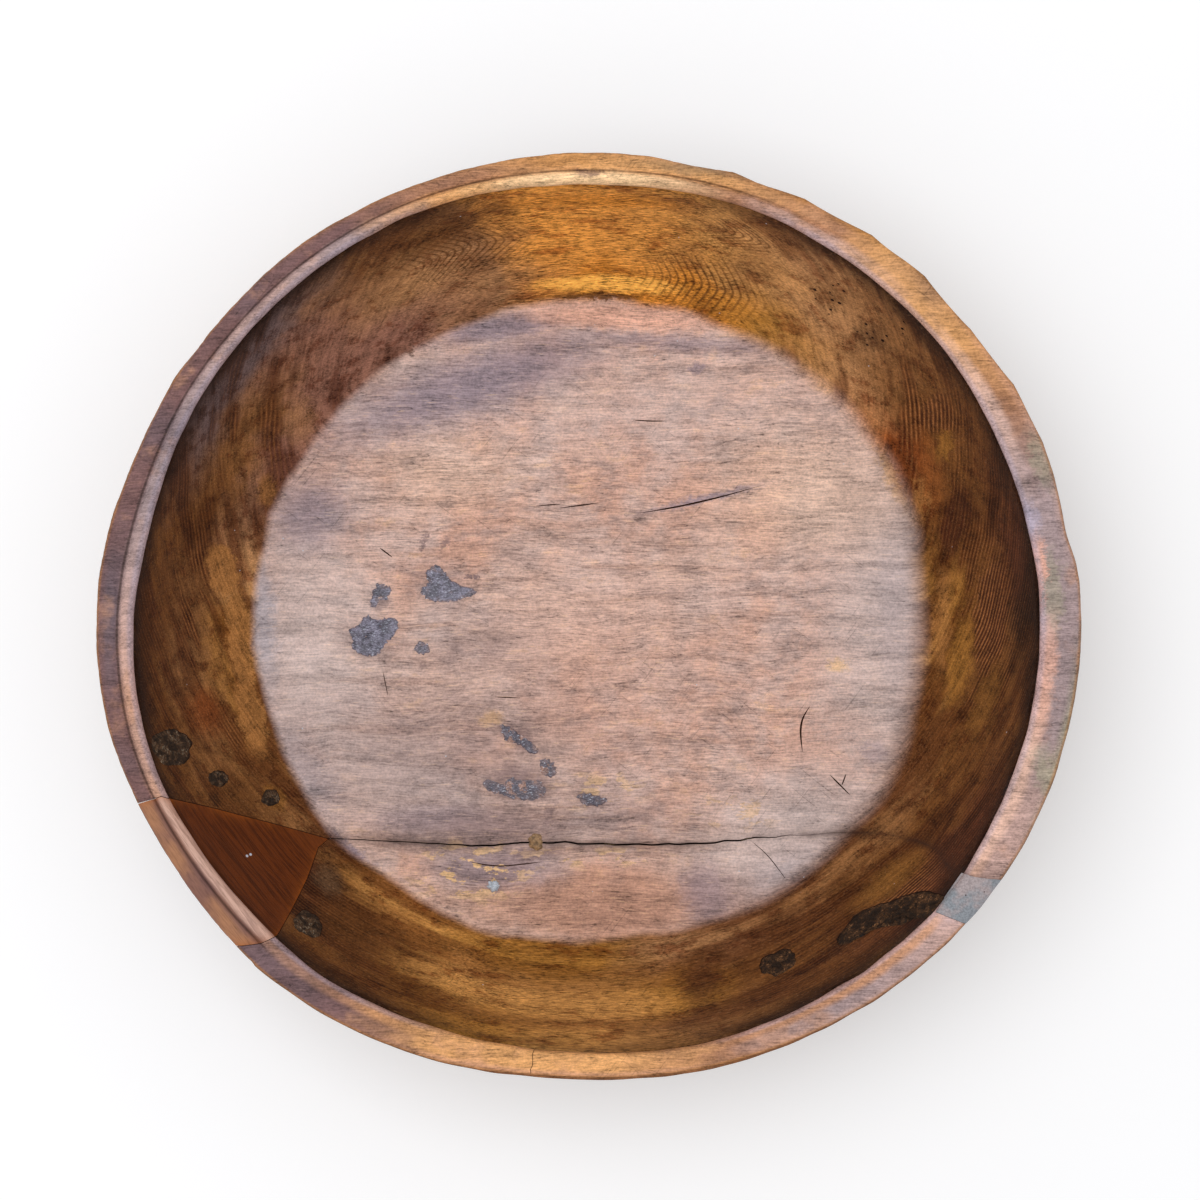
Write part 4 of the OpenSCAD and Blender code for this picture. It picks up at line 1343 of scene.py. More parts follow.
def floor_colour(f, g, shape, colours, marked):
    """Dry, pale wood with a milky bloom, partly painted sheen, stains and worn places, and how calm that
    makes the grain.
    """
    floor = f.mix(f.smooth(g.wide, 0.38, 0.62), colours.floor_tan, colours.floor_red)
    # Milky bloom in cloudy patches, partly painted sheen
    floor = f.mix(f.smooth(g.cloud, 0.42, 0.68, 0.0, 0.5), floor, colours.floor_bloom_and_sheen)
    floor = f.mix(f.smooth(g.streaks, 0.5, 0.7, 0.0, 0.4), floor, colours.floor_red)
    floor = f.mix(f.smooth(g.blotch, 0.52, 0.36, 0.0, 0.52), floor, colours.floor_dull)
    floor = f.mix(f.smooth(g.blotch, 0.56, 0.68, 0.0, 0.3), floor, colours.worn_orange)
    marks = {}
    for name, rows in FLOOR_MARKS.items():
        marks[name] = [(*floor_oval(shape, *row[:4]), *row[4:]) for row in rows]
    floor, calm = marked_with(f, floor, marked, marks, colours)
    flaked = 0.0
    for *oval, much in FLAKES:
        here = f.blot(marked, *floor_oval(shape, *oval), 0.0, 0.7)
        flaked = f.most(f.times(here, much), flaked)
    torn = f.smooth(f.noise(f.stretch(f.place, 0.075, 0.16, 0.1), 1.0, 6.0, 0.66), 0.535, 0.56)
    floor = f.mix(f.times(torn, flaked), floor, colours.flake)
    bent_x, bent_y, _bent_z = f.split(g.bent)
    for px, py, half, steep in ARCHES:
        middle = np.append(on_floor(shape, px, py), 0)
        side = f.minus(bent_x, float(middle[0]))
        far = f.scaled(f.times(side, side), steep, bent_y)
        here = f.blot(marked, middle, (*half, ANY_HEIGHT), 0.0, 0.9)
        arch = f.times(g.lines(f, far, HOOK_GAP), here)
        floor = f.mix(f.times(arch, 0.22), floor, colours.pitch_stain)
    return floor, calm


def rim_colour(f, g, turn, straight, shape, colours, marked):
    """A rubbed inner edge with painted sheen, a duller middle and a warm outer edge, with patches of dust and
    painted shade in the groove.
    """
    across = f.plus(f.read("across"), f.scaled(g.cloud, 0.3, -0.15))
    inner, middle, outer = around(f, turn, colours, RIM_INNER, RIM_MIDDLE, RIM_OUTER)
    rim = f.mix(f.smooth(across, 0.68, 0.98), f.mix(f.smooth(across, 0.24, 0.5), inner, middle), outer)
    sides = f.rest(f.times(straight, 1.5), clamp=True)
    dusty = f.times(f.smooth(g.wide, 0.52, 0.66, 0.0, 0.5), sides)
    rim = f.mix(dusty, rim, colours.rim_grey)
    rim = f.mix(f.smooth(g.cloud, 0.54, 0.7, 0.0, 0.5), rim, colours.rim_copper)
    marks = placed(RIM_MARKS, lambda px, py: sight(px, py, shape.high))
    rim = marked_with(f, rim, marked, marks, colours)[0]
    # Painted highlight: a lilac sheen along the rim's inner edge at both ends of the bowl
    gleam = f.times(f.smooth(f.read("across"), 0.17, 0.03), f.times(sides, 0.4))
    rim = f.mix(gleam, rim, colours.rim_sheen)
    # Painted shade in the groove between the bead and the flat band
    groove = f.smooth(f.apart(f.read("across"), 0.4), 0.055, 0.01)
    rim = f.mix(f.times(f.times(groove, f.read("beaded")), 0.6), rim, colours.lip_shade)
    rim = f.mix(f.smooth(f.read("across"), 0.88, 0.97, 0.0, 0.55), rim, colours.rim_orange)
    return f.mix(f.smooth(f.read("across"), 0.96, 1.02, 0.0, 0.8), rim, colours.side_brown)


def scratches(f, turn, seed):
    """Fine straight scratches that run one way."""
    turned = f.turned(turn, (seed, 2 * seed, 0.0))
    return f.smooth(f.noise(f.stretch(turned, 0.035, 0.75, 0.05), 1.0, 1.0, 0.5), 0.69, 0.74)


def specks(f, scale, share, half):
    """Scattered tiny dots, in a share of the places where one could be."""
    made = f.node("TexVoronoi", {"Vector": f.place, "Scale": scale})
    here = f.math("LESS_THAN", f.split(made.outputs["Color"])[0], share)
    return f.times(here, f.smooth(made.outputs["Distance"], half * scale, half * scale * 0.5))


def lie(f, g, shape):
    """Share of a turn, how straight the grain runs there, and ragged places for marks."""
    x, y, _z = f.split(f.place)
    turn = f.scaled(f.math("ARCTAN2", f.math("DIVIDE", y, shape.oval), x), 1 / FULL_TURN, 1.0)
    turn = f.math("FRACT", f.plus(turn, f.scaled(g.cloud, 0.05, -0.025)))
    straight = f.most(near_turn(f, turn, 0.25, 0.09), f.times(near_turn(f, turn, 0.745, 0.085), 0.7))
    ragged = f.vector("SUBTRACT", f.noise(f.place, 0.14, 6.0, 0.78, colour=True), (0.5, 0.5, 0.5))
    marked = f.vector("ADD", f.place, f.vector("MULTIPLY", ragged, (24.0, 12.0, 12.0)))
    return turn, straight, marked


def weathered(f, g, wood, colours, floor_here, lively, bold, ends):
    """The wood with its fibres, short strokes, ring streaks, cracks, pores, scratches, specks and painted
    shine.
    """
    level = f.times(f.smooth(g.fibres, 0.28, 0.72, -0.26, 0.28), lively)
    level = f.plus(level, f.smooth(g.grit, 0.3, 0.7, -0.15, 0.15))
    level = f.plus(level, f.smooth(g.streaks, 0.4, 0.66, 0.09, -0.12))
    blotches = f.smooth(g.blotch, 0.3, 0.7, -1.0, 1.0)
    level = f.plus(level, f.times(blotches, f.scaled(floor_here, -0.08, 0.2)))
    layers = f.scaled(ends, 0.2, f.times(floor_here, 0.08))
    level = f.plus(level, f.times(layers, f.smooth(g.layers, 0.32, 0.68, -1.0, 1.2)))
    dark_stroke = f.times(f.smooth(g.strokes, 0.54, 0.64), f.scaled(bold, 0.5, 0.2))
    light_stroke = f.times(f.smooth(g.strokes, 0.46, 0.32), f.scaled(bold, 0.6, 0.16))
    level = f.plus(level, f.times(f.minus(light_stroke, dark_stroke), lively))
    dashes = f.times(f.smooth(g.dashes, 0.62, 0.72), 0.1)
    cracks = f.times(f.smooth(g.veins, 0.012, 0.004), f.smooth(g.blotch, 0.58, 0.42, 0.16, 0.42))
    level = f.minus(level, f.times(f.plus(dashes, cracks), lively))
    drawn = f.plus(scratches(f, 38.0, 7.0), scratches(f, -52.0, 19.0))
    level = f.minus(level, f.times(drawn, f.smooth(g.wide, 0.45, 0.6, 0.0, 0.25)))
    wood = f.vector("SCALE", wood, scale=f.most(f.plus(level, 1.04), 0.2))
    # Painted shine: cream glints on the light fibres, stronger on the floor
    shine = f.times(f.smooth(g.fibres, 0.58, 0.74), f.scaled(floor_here, 0.3, 0.08))
    wood = f.mix(f.times(shine, lively), wood, colours.cream_highlight)
    near = f.times(f.read("split_near"), f.smooth(g.cloud, 0.3, 0.6, 0.25, 0.8))
    wood = f.mix(near, wood, colours.cut_face)
    wood = f.mix(f.times(specks(f, 0.09, 0.22, 0.5), 0.7), wood, colours.glue)
    rough = f.scaled(floor_here, 0.14, 0.36)
    rough = f.plus(rough, f.scaled(g.grit, 0.3, -0.15))
    f.relief(f.minus(g.fibres, f.times(f.smooth(g.dashes, 0.6, 0.7), 0.8)), 0.22, 0.6)
    return f.surface(wood, rough, 0.07)


def reach_of(f, x, y, shape):
    """How far out a place lies, with the bowl drawn round."""
    round_y = f.math("DIVIDE", y, shape.oval)
    return f.math("SQRT", f.plus(f.times(x, x), f.times(round_y, round_y)))


def inner_wood(shape, sizes, colours):
    """Old waxed wood inside: a dry hazy floor, dark end grain and golden side grain in the wall."""
    f = Finish("inner_wood")
    g = Grain(f, sizes.ring_gap / MM)
    turn, straight, marked = lie(f, g, shape)
    x, y, z = f.split(f.place)
    reach = reach_of(f, x, y, shape)
    wall = wall_colour(f, g, turn, z, straight, shape, colours, marked)
    floor, calm = floor_colour(f, g, shape, colours, marked)
    edge = f.plus(reach, f.scaled(g.cloud, 6.0, -3.0 - shape.floor_r))
    edge = f.plus(edge, f.scaled(g.wide, 14.0, -7.0))
    pulled = f.times(f.smooth(f.math("ABSOLUTE", y), 95.0, 25.0, 0.0, 6.0), f.smooth(x, 100.0, 150.0))
    edge = f.math("DIVIDE", f.plus(edge, pulled), f.smooth(x, 20.0, 150.0, 3.0, 8.0))
    floor_here = f.smooth(edge, 1.0, -1.0)
    wood = f.mix(floor_here, wall, floor)
    lively = f.rest(f.times(f.scaled(calm, 0.45, 0.08), floor_here))
    off_floor = f.rest(floor_here)
    bold = f.times(straight, off_floor)
    ends = f.times(f.rest(straight), off_floor)
    return weathered(f, g, wood, colours, floor_here, lively, bold, ends)


def rim_wood(shape, sizes, colours):
    """Old waxed wood of the rubbed rim and the plain outside, with painted shade under the bead."""
    f = Finish("rim_wood")
    g = Grain(f, sizes.ring_gap / MM)
    turn, straight, marked = lie(f, g, shape)
    x, y, z = f.split(f.place)
    reach = reach_of(f, x, y, shape)
    side = f.mix(f.smooth(g.band, 0.42, 0.6), colours.side_brown, colours.russet)
    low = f.smooth(f.scaled(g.cloud, 30.0, z), 50.0, 8.0, 0.0, 0.6)
    side = f.mix(low, side, colours.umber)
    # Painted shade on the faces under the bead's overhang, on the inner side of the wall
    bead_underside_shade = f.smooth(f.minus(reach, f.scaled(z, WALL_LEAN, WALL_FOOT)), -3.0, -6.0)
    side = f.mix(bead_underside_shade, side, colours.lip_shade)
    rim = rim_colour(f, g, turn, straight, shape, colours, marked)
    wood = f.mix(f.smooth(z, shape.shelf_z - 2.8, shape.shelf_z - 0.6), side, rim)
    return weathered(f, g, wood, colours, 0.0, 0.8, f.times(straight, 0.4), 0.0)


# Two white specks on the rim patch, by points of the picture
PATCH_SPECKS = [(247, 856), (250.5, 854.5)]


def patch_wood(shape, colours):
    """Newer reddish wood with fine straight grain along the rim, with painted highlights on its seams and
    bead and painted shade under its lip and in its groove.
    """
    f = Finish("patch_wood")
    turned = f.turned(52)
    fibre = f.noise(f.stretch(turned, 0.03, 0.6, 0.6), 1.0, 4.0, 0.6)
    fine = f.noise(f.stretch(turned, 0.16, 1.7, 1.7), 1.0, 3.0, 0.7)
    cloud = f.noise(f.place, 0.04, 3.0)
    z = f.split(f.place)[2]
    across = f.read("across")
    wall = f.mix(f.smooth(fibre, 0.36, 0.64), colours.patch_dark, colours.patch_red)
    wall = f.mix(f.smooth(f.scaled(cloud, 24.0, z), 62.0, 30.0, 0.0, 0.45), wall, colours.rust)
    # Painted shade under the lip
    wall = f.mix(f.smooth(z, 96.0, 108.0, 0.0, 0.6), wall, colours.lip_shade)
    rim = f.mix(f.smooth(cloud, 0.38, 0.62), colours.patch_rim, colours.rim_brown)
    rim = f.mix(f.smooth(across, 0.62, 0.44, 0.0, 0.6), rim, colours.rim_plum)
    # Painted highlight on the bead
    bead = f.times(f.smooth(across, 0.36, 0.2), f.smooth(fibre, 0.36, 0.6, 0.45, 0.95))
    rim = f.mix(bead, rim, colours.rim_wear_and_highlight)
    # Painted shade in the groove
    groove = f.smooth(f.apart(across, 0.4), 0.06, 0.01, 0.0, 0.55)
    rim = f.mix(groove, rim, colours.lip_shade)
    wood = f.mix(f.smooth(z, shape.shelf_z - 2.8, shape.shelf_z - 0.6), wall, rim)
    wood = f.mix(f.smooth(across, 0.96, 1.02), wood, colours.side_brown)
    # Painted highlight along the seams, where their edges catch the light
    seam = f.times(f.read("patch_near"), f.smooth(cloud, 0.36, 0.62, 0.05, 0.6))
    wood = f.mix(seam, wood, colours.seam)
    lines = f.plus(f.smooth(fine, 0.42, 0.7, 0.0, 0.3), f.smooth(fibre, 0.5, 0.7, 0.0, 0.14))
    wood = f.vector("SCALE", wood, scale=f.minus(1.08, lines))
    rows = [(on_wall(shape, *point), (0.8, 0.8, 1.5), 0.0, 0.4, 1.0) for point in PATCH_SPECKS]
    wood = marked_with(f, wood, f.place, {"glue": rows}, colours)[0]
    f.relief(f.minus(fine, fibre), 0.3, 0.5)
    return f.surface(wood, f.scaled(fine, 0.25, 0.27), 0.07)


def mottled(name, dark, light, rough, gloss, grain, depth):
    """A rough, mottled finish for fillers, cut faces and other small pieces."""
    f = Finish(name)
    lumps = f.noise(f.place, grain, 5.0, 0.65)
    fine = f.noise(f.place, grain * 4.2, 3.0, 0.7)
    colour = f.mix(f.smooth(lumps, 0.36, 0.64), dark, light)
    colour = f.vector("SCALE", colour, scale=f.scaled(fine, 1.5, 0.25))
    f.relief(f.plus(lumps, f.times(fine, 0.6)), depth, 0.9)
    return f.surface(colour, f.scaled(fine, 0.4, rough - 0.2), gloss)


def crusty(name, dark, light, flake, depth):
    """A rough crust with pale, worm-like flakes."""
    f = Finish(name)
    lumps = f.noise(f.place, 0.2, 4.0, 0.62)
    fine = f.noise(f.place, 0.7, 3.0, 0.7)
    veins = f.apart(f.noise(f.place, 0.3, 2.0, 0.5), 0.5)
    colour = f.mix(f.smooth(lumps, 0.42, 0.6), dark, light)
    colour = f.vector("SCALE", colour, scale=f.smooth(fine, 0.34, 0.66, 0.35, 1.5))
    flakes = f.times(f.smooth(veins, 0.035, 0.008), f.smooth(lumps, 0.5, 0.58))
    colour = f.mix(f.times(flakes, f.smooth(fine, 0.4, 0.56, 0.3, 1.0)), colour, flake)
    height = f.plus(lumps, f.scaled(fine, 0.7, f.times(flakes, 0.4)))
    f.relief(height, depth, 1.0)
    return f.surface(colour, f.scaled(fine, 0.4, 0.35), 0.2)


def rim_filler(colours):
    """Filler that is lilac grey and blue grey in patches, with dark pores."""
    f = Finish("rim_filler")
    lumps = f.noise(f.place, 0.06, 4.0, 0.6)
    fine = f.noise(f.place, 0.9, 3.0, 0.7)
    colour = f.mix(f.smooth(lumps, 0.42, 0.58), colours.filler_grey, colours.filler_blue)
    colour = f.vector("SCALE", colour, scale=f.smooth(fine, 0.34, 0.66, 0.78, 1.18))
    pores = f.times(specks(f, 0.3, 0.35, 0.5), 0.8)
    colour = f.mix(pores, colour, colours.cut_face)
    f.relief(f.minus(fine, pores), 0.3, 0.8)
    return f.surface(colour, f.scaled(fine, 0.3, 0.4), 0.2)


def hard_pitch(shape, colours):
    """Hard, wrinkled pitch: slate blue with bright glints, and brown where it thins out."""
    f = Finish("hard_pitch")
    lumps = f.noise(f.place, 0.24, 4.0, 0.65)
    wrinkles = f.noise(f.stretch(f.place, 0.7, 1.4, 1.0), 1.0, 3.0, 0.7)
    colour = f.mix(f.smooth(lumps, 0.36, 0.62), shade_of(colours.pitch, 0.4), colours.pitch)
    _x, y, z = f.split(f.place)
    colour = f.mix(f.smooth(y, -35.0, -65.0, 0.0, 0.9), colour, colours.pitch_dark)
    bare = f.times(f.smooth(y, -35.0, -60.0), f.smooth(f.noise(f.place, 0.11, 5.0, 0.65), 0.52, 0.58))
    colour = f.mix(f.times(bare, 0.7), colour, colours.floor_brown)
    thin = f.smooth(z, shape.floor_z + 0.55, shape.floor_z + 0.05)
    worn = f.times(thin, f.smooth(lumps, 0.4, 0.6, 0.35, 0.95))
    colour = f.mix(worn, colour, colours.pitch_stain)
    colour = f.vector("SCALE", colour, scale=f.smooth(wrinkles, 0.3, 0.7, 0.5, 1.5))
    # Painted glints on the pitch's wrinkles, in the pale drop's colour
    colour = f.mix(f.smooth(wrinkles, 0.6, 0.68, 0.0, 0.9), colour, colours.glue)
    f.relief(f.plus(lumps, wrinkles), 0.6, 0.8)
    return f.surface(colour, f.scaled(wrinkles, 0.4, 0.1), 0.5)


def shade_of(colour, factor):
    return tuple(min(v * factor, 1.0) for v in colour)


def dowel_wood(colours):
    """Plain straight-grained wood of the hidden dowels and pins."""
    f = Finish("dowel_wood")
    fibre = f.noise(f.stretch(f.place, 0.9, 0.05, 0.9), 1.0, 5.0, 0.6)
    colour = f.mix(f.smooth(fibre, 0.35, 0.65), shade_of(colours.dowel, 0.7), colours.dowel)
    f.relief(fibre, 0.2, 0.4)
    return f.surface(colour, f.scaled(fibre, 0.2, 0.45), 0.4)


def cut_wood(colours):
    """Dark, dusty wood inside the split, the pockets and the scratches."""
    return mottled("cut_wood", colours.cut_face, shade_of(colours.cut_face, 1.6), 0.75, 0.1, 0.4, 0.3)


# Pieces


class BowlPiece:
    """What the operators share: the sizes, the colours and the worn shape."""

    bl_options = {"REGISTER", "UNDO"}

    def setup(self, context):
        self.sizes = context.scene.dough_bowl_sizes
        self.colours = context.scene.dough_bowl_colours
        self.shape = BowlShape(self.sizes)
        self.fit = self.sizes.fit / MM

    def skin(self, finish, rim_finish=None):
        """The whole worn bowl, with another finish on the rim and outside where one is given."""
        verts, faces, sides = self.shape.skin()
        whole = make_object("bowl_skin", verts, faces)
        whole.data.materials.append(finish)
        if rim_finish:
            whole.data.materials.append(rim_finish)
            whole.data.polygons.foreach_set("material_index", sides)
        return whole

    def plug_places(self):
        """Place on the wall and outline of each knot and fill."""
        places = {}
        for i, (name, row) in enumerate(KNOTS.items()):
            places[name] = row[:2], lumpy_oval(*row[2:], KNOT_OUTLINE + 2 * i)
        places["oval_fill"] = OVAL_FILL[:2], lumpy_oval(*OVAL_FILL[2:], OVAL_OUTLINE)
        places["wall_fill"] = wall_fill(self.shape)
        return places

    def plug_pockets(self):
        """Cutters for the pockets that hold knots and fills."""
        depth = self.sizes.plug_depth / MM
        pockets = {}
        for name, spot in self.plug_places().items():
            pockets[name] = wall_plug(name + "_pocket", self.shape, *spot, depth, clear=self.fit, proud=PROUD)
        return pockets

    def plug(self, name, node, crust, seed):
        """A knot or fill, in the place that its node has in the wall."""
        depth = self.sizes.plug_depth / MM - self.fit
        return wall_plug(name, self.shape, *self.plug_places()[node], depth, crust, seed)

    def bores(self):
        """Cutters for the dowels across the split and for the peg."""
        cutters = []
        fit = self.fit
        for dowel in DOWELS:
            low, high, mid = solid_box(dowel)
            start, end = (mid.x, low.y - fit, mid.z), (mid.x, high.y + fit, mid.z)
            cutters.append(rod("dowel_bore", start, end, (high.z - low.z) / 2 + fit))
        low, high, mid = solid_box("split_peg")
        start, end = (mid.x, mid.y, low.z - fit), (mid.x, mid.y, high.z + 5)
        cutters.append(rod("peg_bore", start, end, (high.x - low.x) / 2 + fit))
        return cutters

    def pin_bores(self):
        """Cutters for the patch's upper and lower pin."""
        cutters = []
        for pin, turn in PINS.items():
            low, high, mid = solid_box(pin)
            a = math.radians(turn)
            way = Vector((-math.sin(a), math.cos(a) * self.shape.oval, 0)).normalized()
            radius = (high.z - low.z) / 2
            half = ((high.x - low.x) - 2 * radius * abs(way.y)) / abs(way.x) / 2
            long = way * (half + self.fit)
            cutters.append(rod("pin_bore", mid - long, mid + long, radius + self.fit))
        return cutters

    def measure(self, piece):
        """Notes for each vertex its place across the rim, how beaded that is, and how near seams are."""
        p = places_of(piece)
        s = self.shape
        round_y = p[:, 1] / s.oval
        degrees = np.degrees(np.arctan2(round_y, p[:, 0])) % 360
        reach = np.hypot(p[:, 0], round_y)
        lip, edge = LIP(degrees), OUTLINE(degrees)
        note(piece, "across", np.clip((reach - s.lip_r - lip) / (s.rim_w + edge - lip), -1, 2))
        note(piece, "beaded", rise_and_fall(degrees, BEAD_FROM, BEAD_FROM + 20, BEAD_TO, BEAD_TO + 2))
        note(piece, "split_near", np.exp(-distance_to(split_line(s), p[:, :2]) / SPLIT_FADE))
        edges = patch_outline(s)
        seam = distance_to(np.vstack([edges, edges[:1]]), p[:, :2])
        note(piece, "patch_near", np.exp(-seam / SEAM_FADE))

    def finish_wood(self, piece, slot, node):
        self.measure(piece)
        settle(piece, node)


class BOWL_OT_old_wood(BowlPiece, bpy.types.Operator):
    """Carves the worn bowl and parts it along the split into the body and the front segment"""

    bl_idname = "dough_bowl.old_wood"
    bl_label = "Bowl body and front segment"

    def execute(self, context):
        self.setup(context)
        shape, sizes = self.shape, self.sizes
        skin = self.skin(inner_wood(shape, sizes, self.colours), rim_wood(shape, sizes, self.colours))
        cut = cut_wood(self.colours)
        pockets = self.plug_pockets()
        shared = [check_cutter("checks", shape), groove_cutter("scratches", shape), *self.bores()]
        patch = block("patch_place", shape, patch_outline(shape))
        behind = front_block("behind_split", shape, 1, sizes)
        before = front_block("before_split", shape, -1, sizes)
        pits = pit_cutter("worm_pits", shape)
        outline = [shape.band_place(row) for row in RIM_FILL]
        rim_fill = block("rim_fill_place", shape, outline, shape.high - sizes.rim_fill_depth / MM)
        pins = self.pin_bores()
        cutters = [*shared, patch, behind, before, pits, rim_fill, *pins, *pockets.values()]
        for cutter in cutters:
            cutter.data.materials.append(cut)
        back_knots = [pockets[name] for name in ("knot_large", "knot_mid", "knot_low")]
        front_plugs = [pockets[name] for name in ("knot_front", "oval_fill", "wall_fill")]
        body = carve("old_bowl_body", skin, [], [behind, patch, *shared, pits, pins[0], *back_knots])
        front = carve("old_front_segment", skin, [before], [patch, rim_fill, *shared, pins[1], *front_plugs])
        drop(skin, *cutters)
        self.finish_wood(body, "old_wood", "bowl_body")
        self.finish_wood(front, "old_wood", "front_segment")
        return {"FINISHED"}


class BOWL_OT_rim_patch(BowlPiece, bpy.types.Operator):
    """Makes the wedge of newer wood let into wall and rim"""

    bl_idname = "dough_bowl.rim_patch"
    bl_label = "Rim patch"

    def execute(self, context):
        self.setup(context)
        skin = self.skin(patch_wood(self.shape, self.colours))
        cut = cut_wood(self.colours)
        place = block("patch_block", self.shape, inset(patch_outline(self.shape), self.sizes.patch_gap / MM))
        pins = self.pin_bores()
        for cutter in (place, *pins):
            cutter.data.materials.append(cut)
        patch = carve("new_rim_patch", skin, [place], pins)
        drop(skin, place, *pins)
        self.finish_wood(patch, "patch_wood", "rim_patch")
        return {"FINISHED"}


class BOWL_OT_fills(BowlPiece, bpy.types.Operator):
    """Makes the grey filler in the rim and the two dark fills in the wall"""

    bl_idname = "dough_bowl.fills"
    bl_label = "Rim fill, wall fill and oval fill"

    def execute(self, context):
        self.setup(context)
        shape, sizes, colours = self.shape, self.sizes, self.colours
        grey = rim_filler(colours)
        skin = self.skin(grey)
        before = front_block("before_split", shape, -1, sizes)
        outline = inset([shape.band_place(row) for row in RIM_FILL], self.fit)
        place = block("rim_fill_block", shape, outline, shape.high - sizes.rim_fill_depth / MM + self.fit)
        filler = carve("grey_rim_fill", skin, [before, place], [])
        drop(skin, before, place)
        seat(filler, grey, "rim_fill")
        dark = crusty("dark_filler", shade_of(colours.fill_dark, 0.25), colours.fill_dark, colours.ochre, 1.4)
        seat(self.plug("dark_oval_fill", "oval_fill", 0.5, OVAL_SKIN), dark, "oval_fill")
        seat(self.plug("dark_wall_fill", "wall_fill", 0.8, LONG_SKIN), dark, "wall_fill")
        return {"FINISHED"}


class BOWL_OT_knots(BowlPiece, bpy.types.Operator):
    """Makes the four crusty knots in the wall"""

    bl_idname = "dough_bowl.knots"
    bl_label = "Knots"

    def execute(self, context):
        self.setup(context)
        colours = self.colours
        dark = shade_of(colours.knot_dark, 0.25)
        crust = crusty("knot_crust", dark, colours.knot_dark, colours.knot_flake, 1.6)
        for i, name in enumerate(KNOTS):
            knot = self.plug("crusty_" + name, name, 0.7, KNOT_SKIN + 2 * i)
            seat(knot, crust, name)
        return {"FINISHED"}


class BOWL_OT_drips(BowlPiece, bpy.types.Operator):
    """Makes the pitch drips and the pale drop on the floor"""

    bl_idname = "dough_bowl.drips"
    bl_label = "Pitch drips and pale drop"

    def execute(self, context):
        self.setup(context)
        colours = self.colours
        pitch = hard_pitch(self.shape, colours)
        for i, (name, (points, high)) in enumerate(DRIPS.items()):
            drip = dome("pitch_" + name, self.shape, points, high, DRIP_SKIN + 5 * i, 0.45)
            seat(drip, pitch, name, LUMP_SHARP)
        dark, light = shade_of(colours.glue, 0.5), shade_of(colours.glue, 0.9)
        glue = mottled("pale_glue", dark, light, 0.3, 0.6, 0.5, 0.3)
        pale = dome("pale_glue_drop", self.shape, *PALE_DROP, DROP_SKIN, 0.4)
        seat(pale, glue, "pale_drop", LUMP_SHARP)
        return {"FINISHED"}


class BOWL_OT_pegs(BowlPiece, bpy.types.Operator):
    """Makes the worn peg in the split and finishes the hidden dowels and pins"""

    bl_idname = "dough_bowl.pegs"
    bl_label = "Peg, dowels and pins"

    def execute(self, context):
        self.setup(context)
        low, high, _mid = solid_box("split_peg")
        head = high.z - self.shape.floor_z
        peg = peg_mesh("worn_split_peg", self.shape, (high.x - low.x) / 2, low.z, head)
        worn = mottled("peg_wood", shade_of(self.colours.peg, 0.4), self.colours.peg, 0.5, 0.4, 0.5, 0.5)
        seat(peg, worn, "split_peg", LUMP_SHARP)
        plain = dowel_wood(self.colours)
        for name in (*DOWELS, *PINS):
            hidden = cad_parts[name].data.materials
            hidden.clear()
            hidden.append(plain)
        return {"FINISHED"}


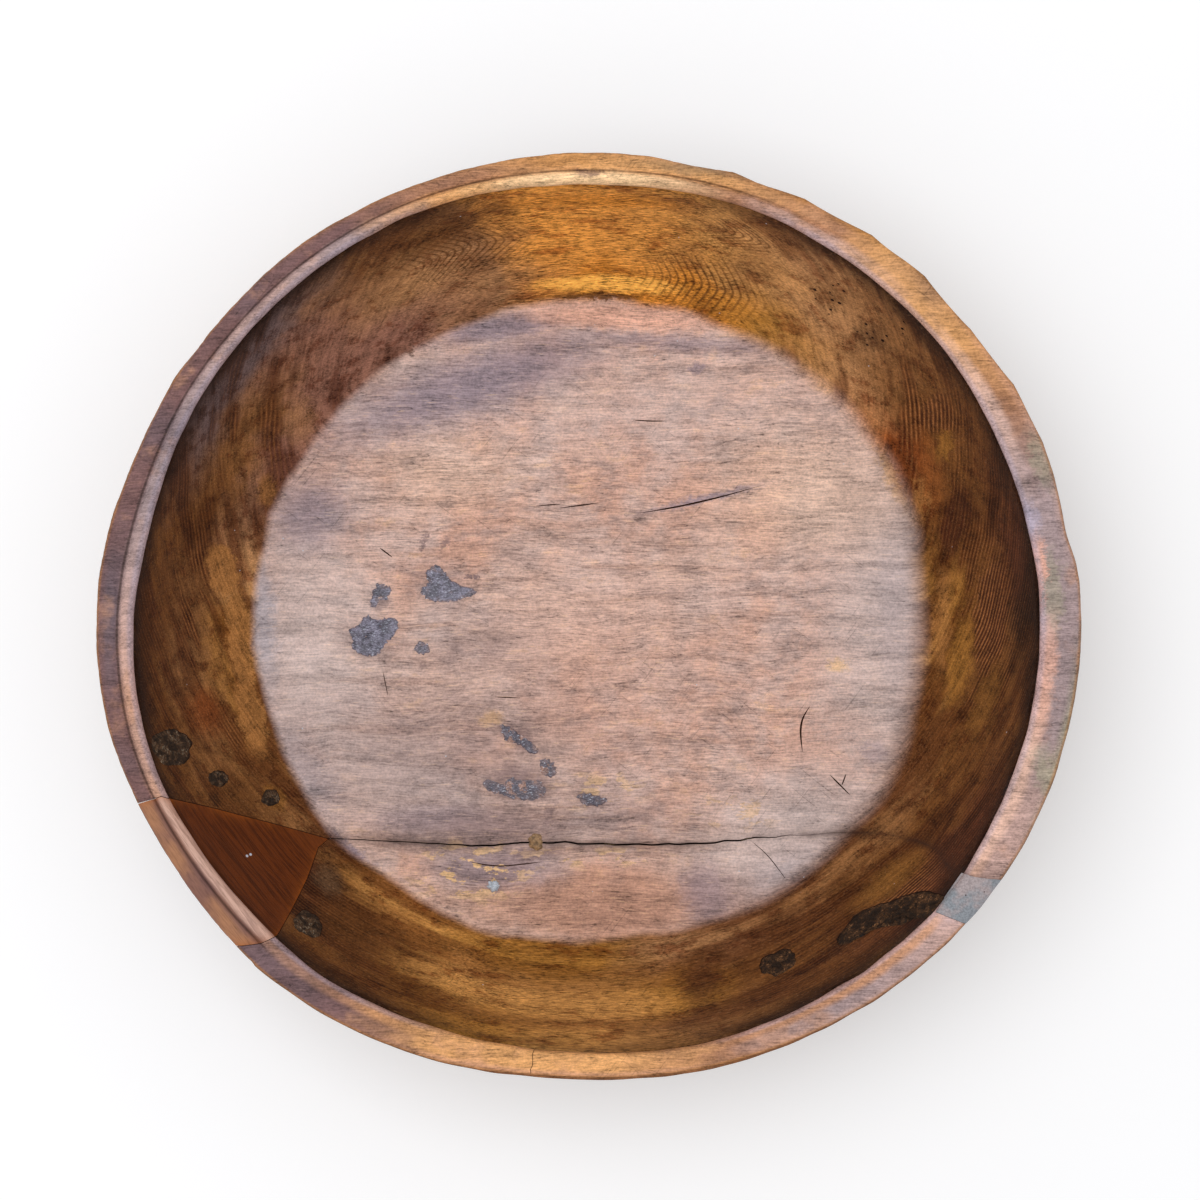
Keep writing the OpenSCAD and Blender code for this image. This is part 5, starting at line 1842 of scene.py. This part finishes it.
class BOWL_OT_stage(BowlPiece, bpy.types.Operator):
    """Sets up the pale floor, the soft light and the camera"""

    bl_idname = "dough_bowl.stage"
    bl_label = "Stage, light and camera"

    GROUND = 6000.0
    SKY_LIGHT = 0.7
    KEY_LIGHT = 21.0

    def execute(self, context):
        self.setup(context)
        scene = context.scene
        self.ground()
        self.sky(scene)
        lamp = bpy.data.lights.new("overhead_softbox", "AREA")
        lamp.shape, lamp.size, lamp.size_y = "RECTANGLE", 2.0, 2.0
        lamp.energy, lamp.color = self.KEY_LIGHT, (0.97, 0.98, 1.0)
        box = bpy.data.objects.new("overhead_softbox", lamp)
        box.location = (-0.6, 0.25, 2.3)
        box.rotation_euler = (-box.location).to_track_quat("-Z", "Y").to_euler()
        scene.collection.objects.link(box)
        view = bpy.data.cameras.new("picture_camera")
        view.lens, view.sensor_width = LENS, FILM
        camera = bpy.data.objects.new("picture_camera", view)
        camera.location = EYE * MM
        camera.rotation_euler = camera_turn().to_euler()
        scene.collection.objects.link(camera)
        scene.camera = camera
        scene.view_settings.view_transform = "Standard"
        return {"FINISHED"}

    def ground(self):
        half = self.GROUND / 2
        corners = [(-half, -half, 0), (half, -half, 0), (half, half, 0), (-half, half, 0)]
        floor = make_object("stage_floor", corners, [(0, 1, 2, 3)])
        f = Finish("stage_paper")
        f.surface(self.colours.stage, 0.9, 0.0)
        seen = f.node("LightPath").outputs["Is Camera Ray"]
        f.feed(f.shader.inputs["Emission Color"], (1.0, 1.0, 1.0))
        f.feed(f.shader.inputs["Emission Strength"], f.times(seen, 0.15))
        floor.data.materials.append(f.material)

    def sky(self, scene):
        world = bpy.data.worlds.new("studio")
        world.use_nodes = True
        t = Tree(world.node_tree)
        rays = t.node("LightPath").outputs
        seen = rays["Is Camera Ray"]
        for name in ("Is Glossy Ray", "Is Transmission Ray"):
            seen = t.most(seen, rays[name])
        strength = t.scaled(seen, 1 - self.SKY_LIGHT, self.SKY_LIGHT)
        air = t.node("Background", {"Color": (1.0, 1.0, 1.0), "Strength": strength})
        t.node("OutputWorld", {"Surface": air.outputs[0]})
        scene.world = world


OPERATORS = (
    BOWL_OT_old_wood, BOWL_OT_rim_patch, BOWL_OT_fills, BOWL_OT_knots, BOWL_OT_drips, BOWL_OT_pegs,
    BOWL_OT_stage)


class BOWL_PT_panel(bpy.types.Panel):
    """Lists the bowl's pieces, sizes and colours"""

    bl_idname = "BOWL_PT_panel"
    bl_label = "Dough bowl"
    bl_space_type = "VIEW_3D"
    bl_region_type = "UI"
    bl_category = "Dough bowl"

    def draw(self, context):
        column = self.layout.column(align=True)
        for operator in OPERATORS:
            column.operator(operator.bl_idname)
        for group in (context.scene.dough_bowl_sizes, context.scene.dough_bowl_colours):
            box = self.layout.box()
            for name in group.__annotations__:
                box.prop(group, name)


CLASSES = (BowlSizes, BowlColours, *OPERATORS, BOWL_PT_panel)


def register():
    for made in CLASSES:
        bpy.utils.register_class(made)
    bpy.types.Scene.dough_bowl_sizes = bpy.props.PointerProperty(type=BowlSizes)
    bpy.types.Scene.dough_bowl_colours = bpy.props.PointerProperty(type=BowlColours)


def unregister():
    del bpy.types.Scene.dough_bowl_colours
    del bpy.types.Scene.dough_bowl_sizes
    for made in reversed(CLASSES):
        bpy.utils.unregister_class(made)


def main():
    register()
    bpy.ops.dough_bowl.old_wood()
    bpy.ops.dough_bowl.rim_patch()
    bpy.ops.dough_bowl.fills()
    bpy.ops.dough_bowl.knots()
    bpy.ops.dough_bowl.drips()
    bpy.ops.dough_bowl.pegs()
    bpy.ops.dough_bowl.stage()


if __name__ == "__main__":
    main()
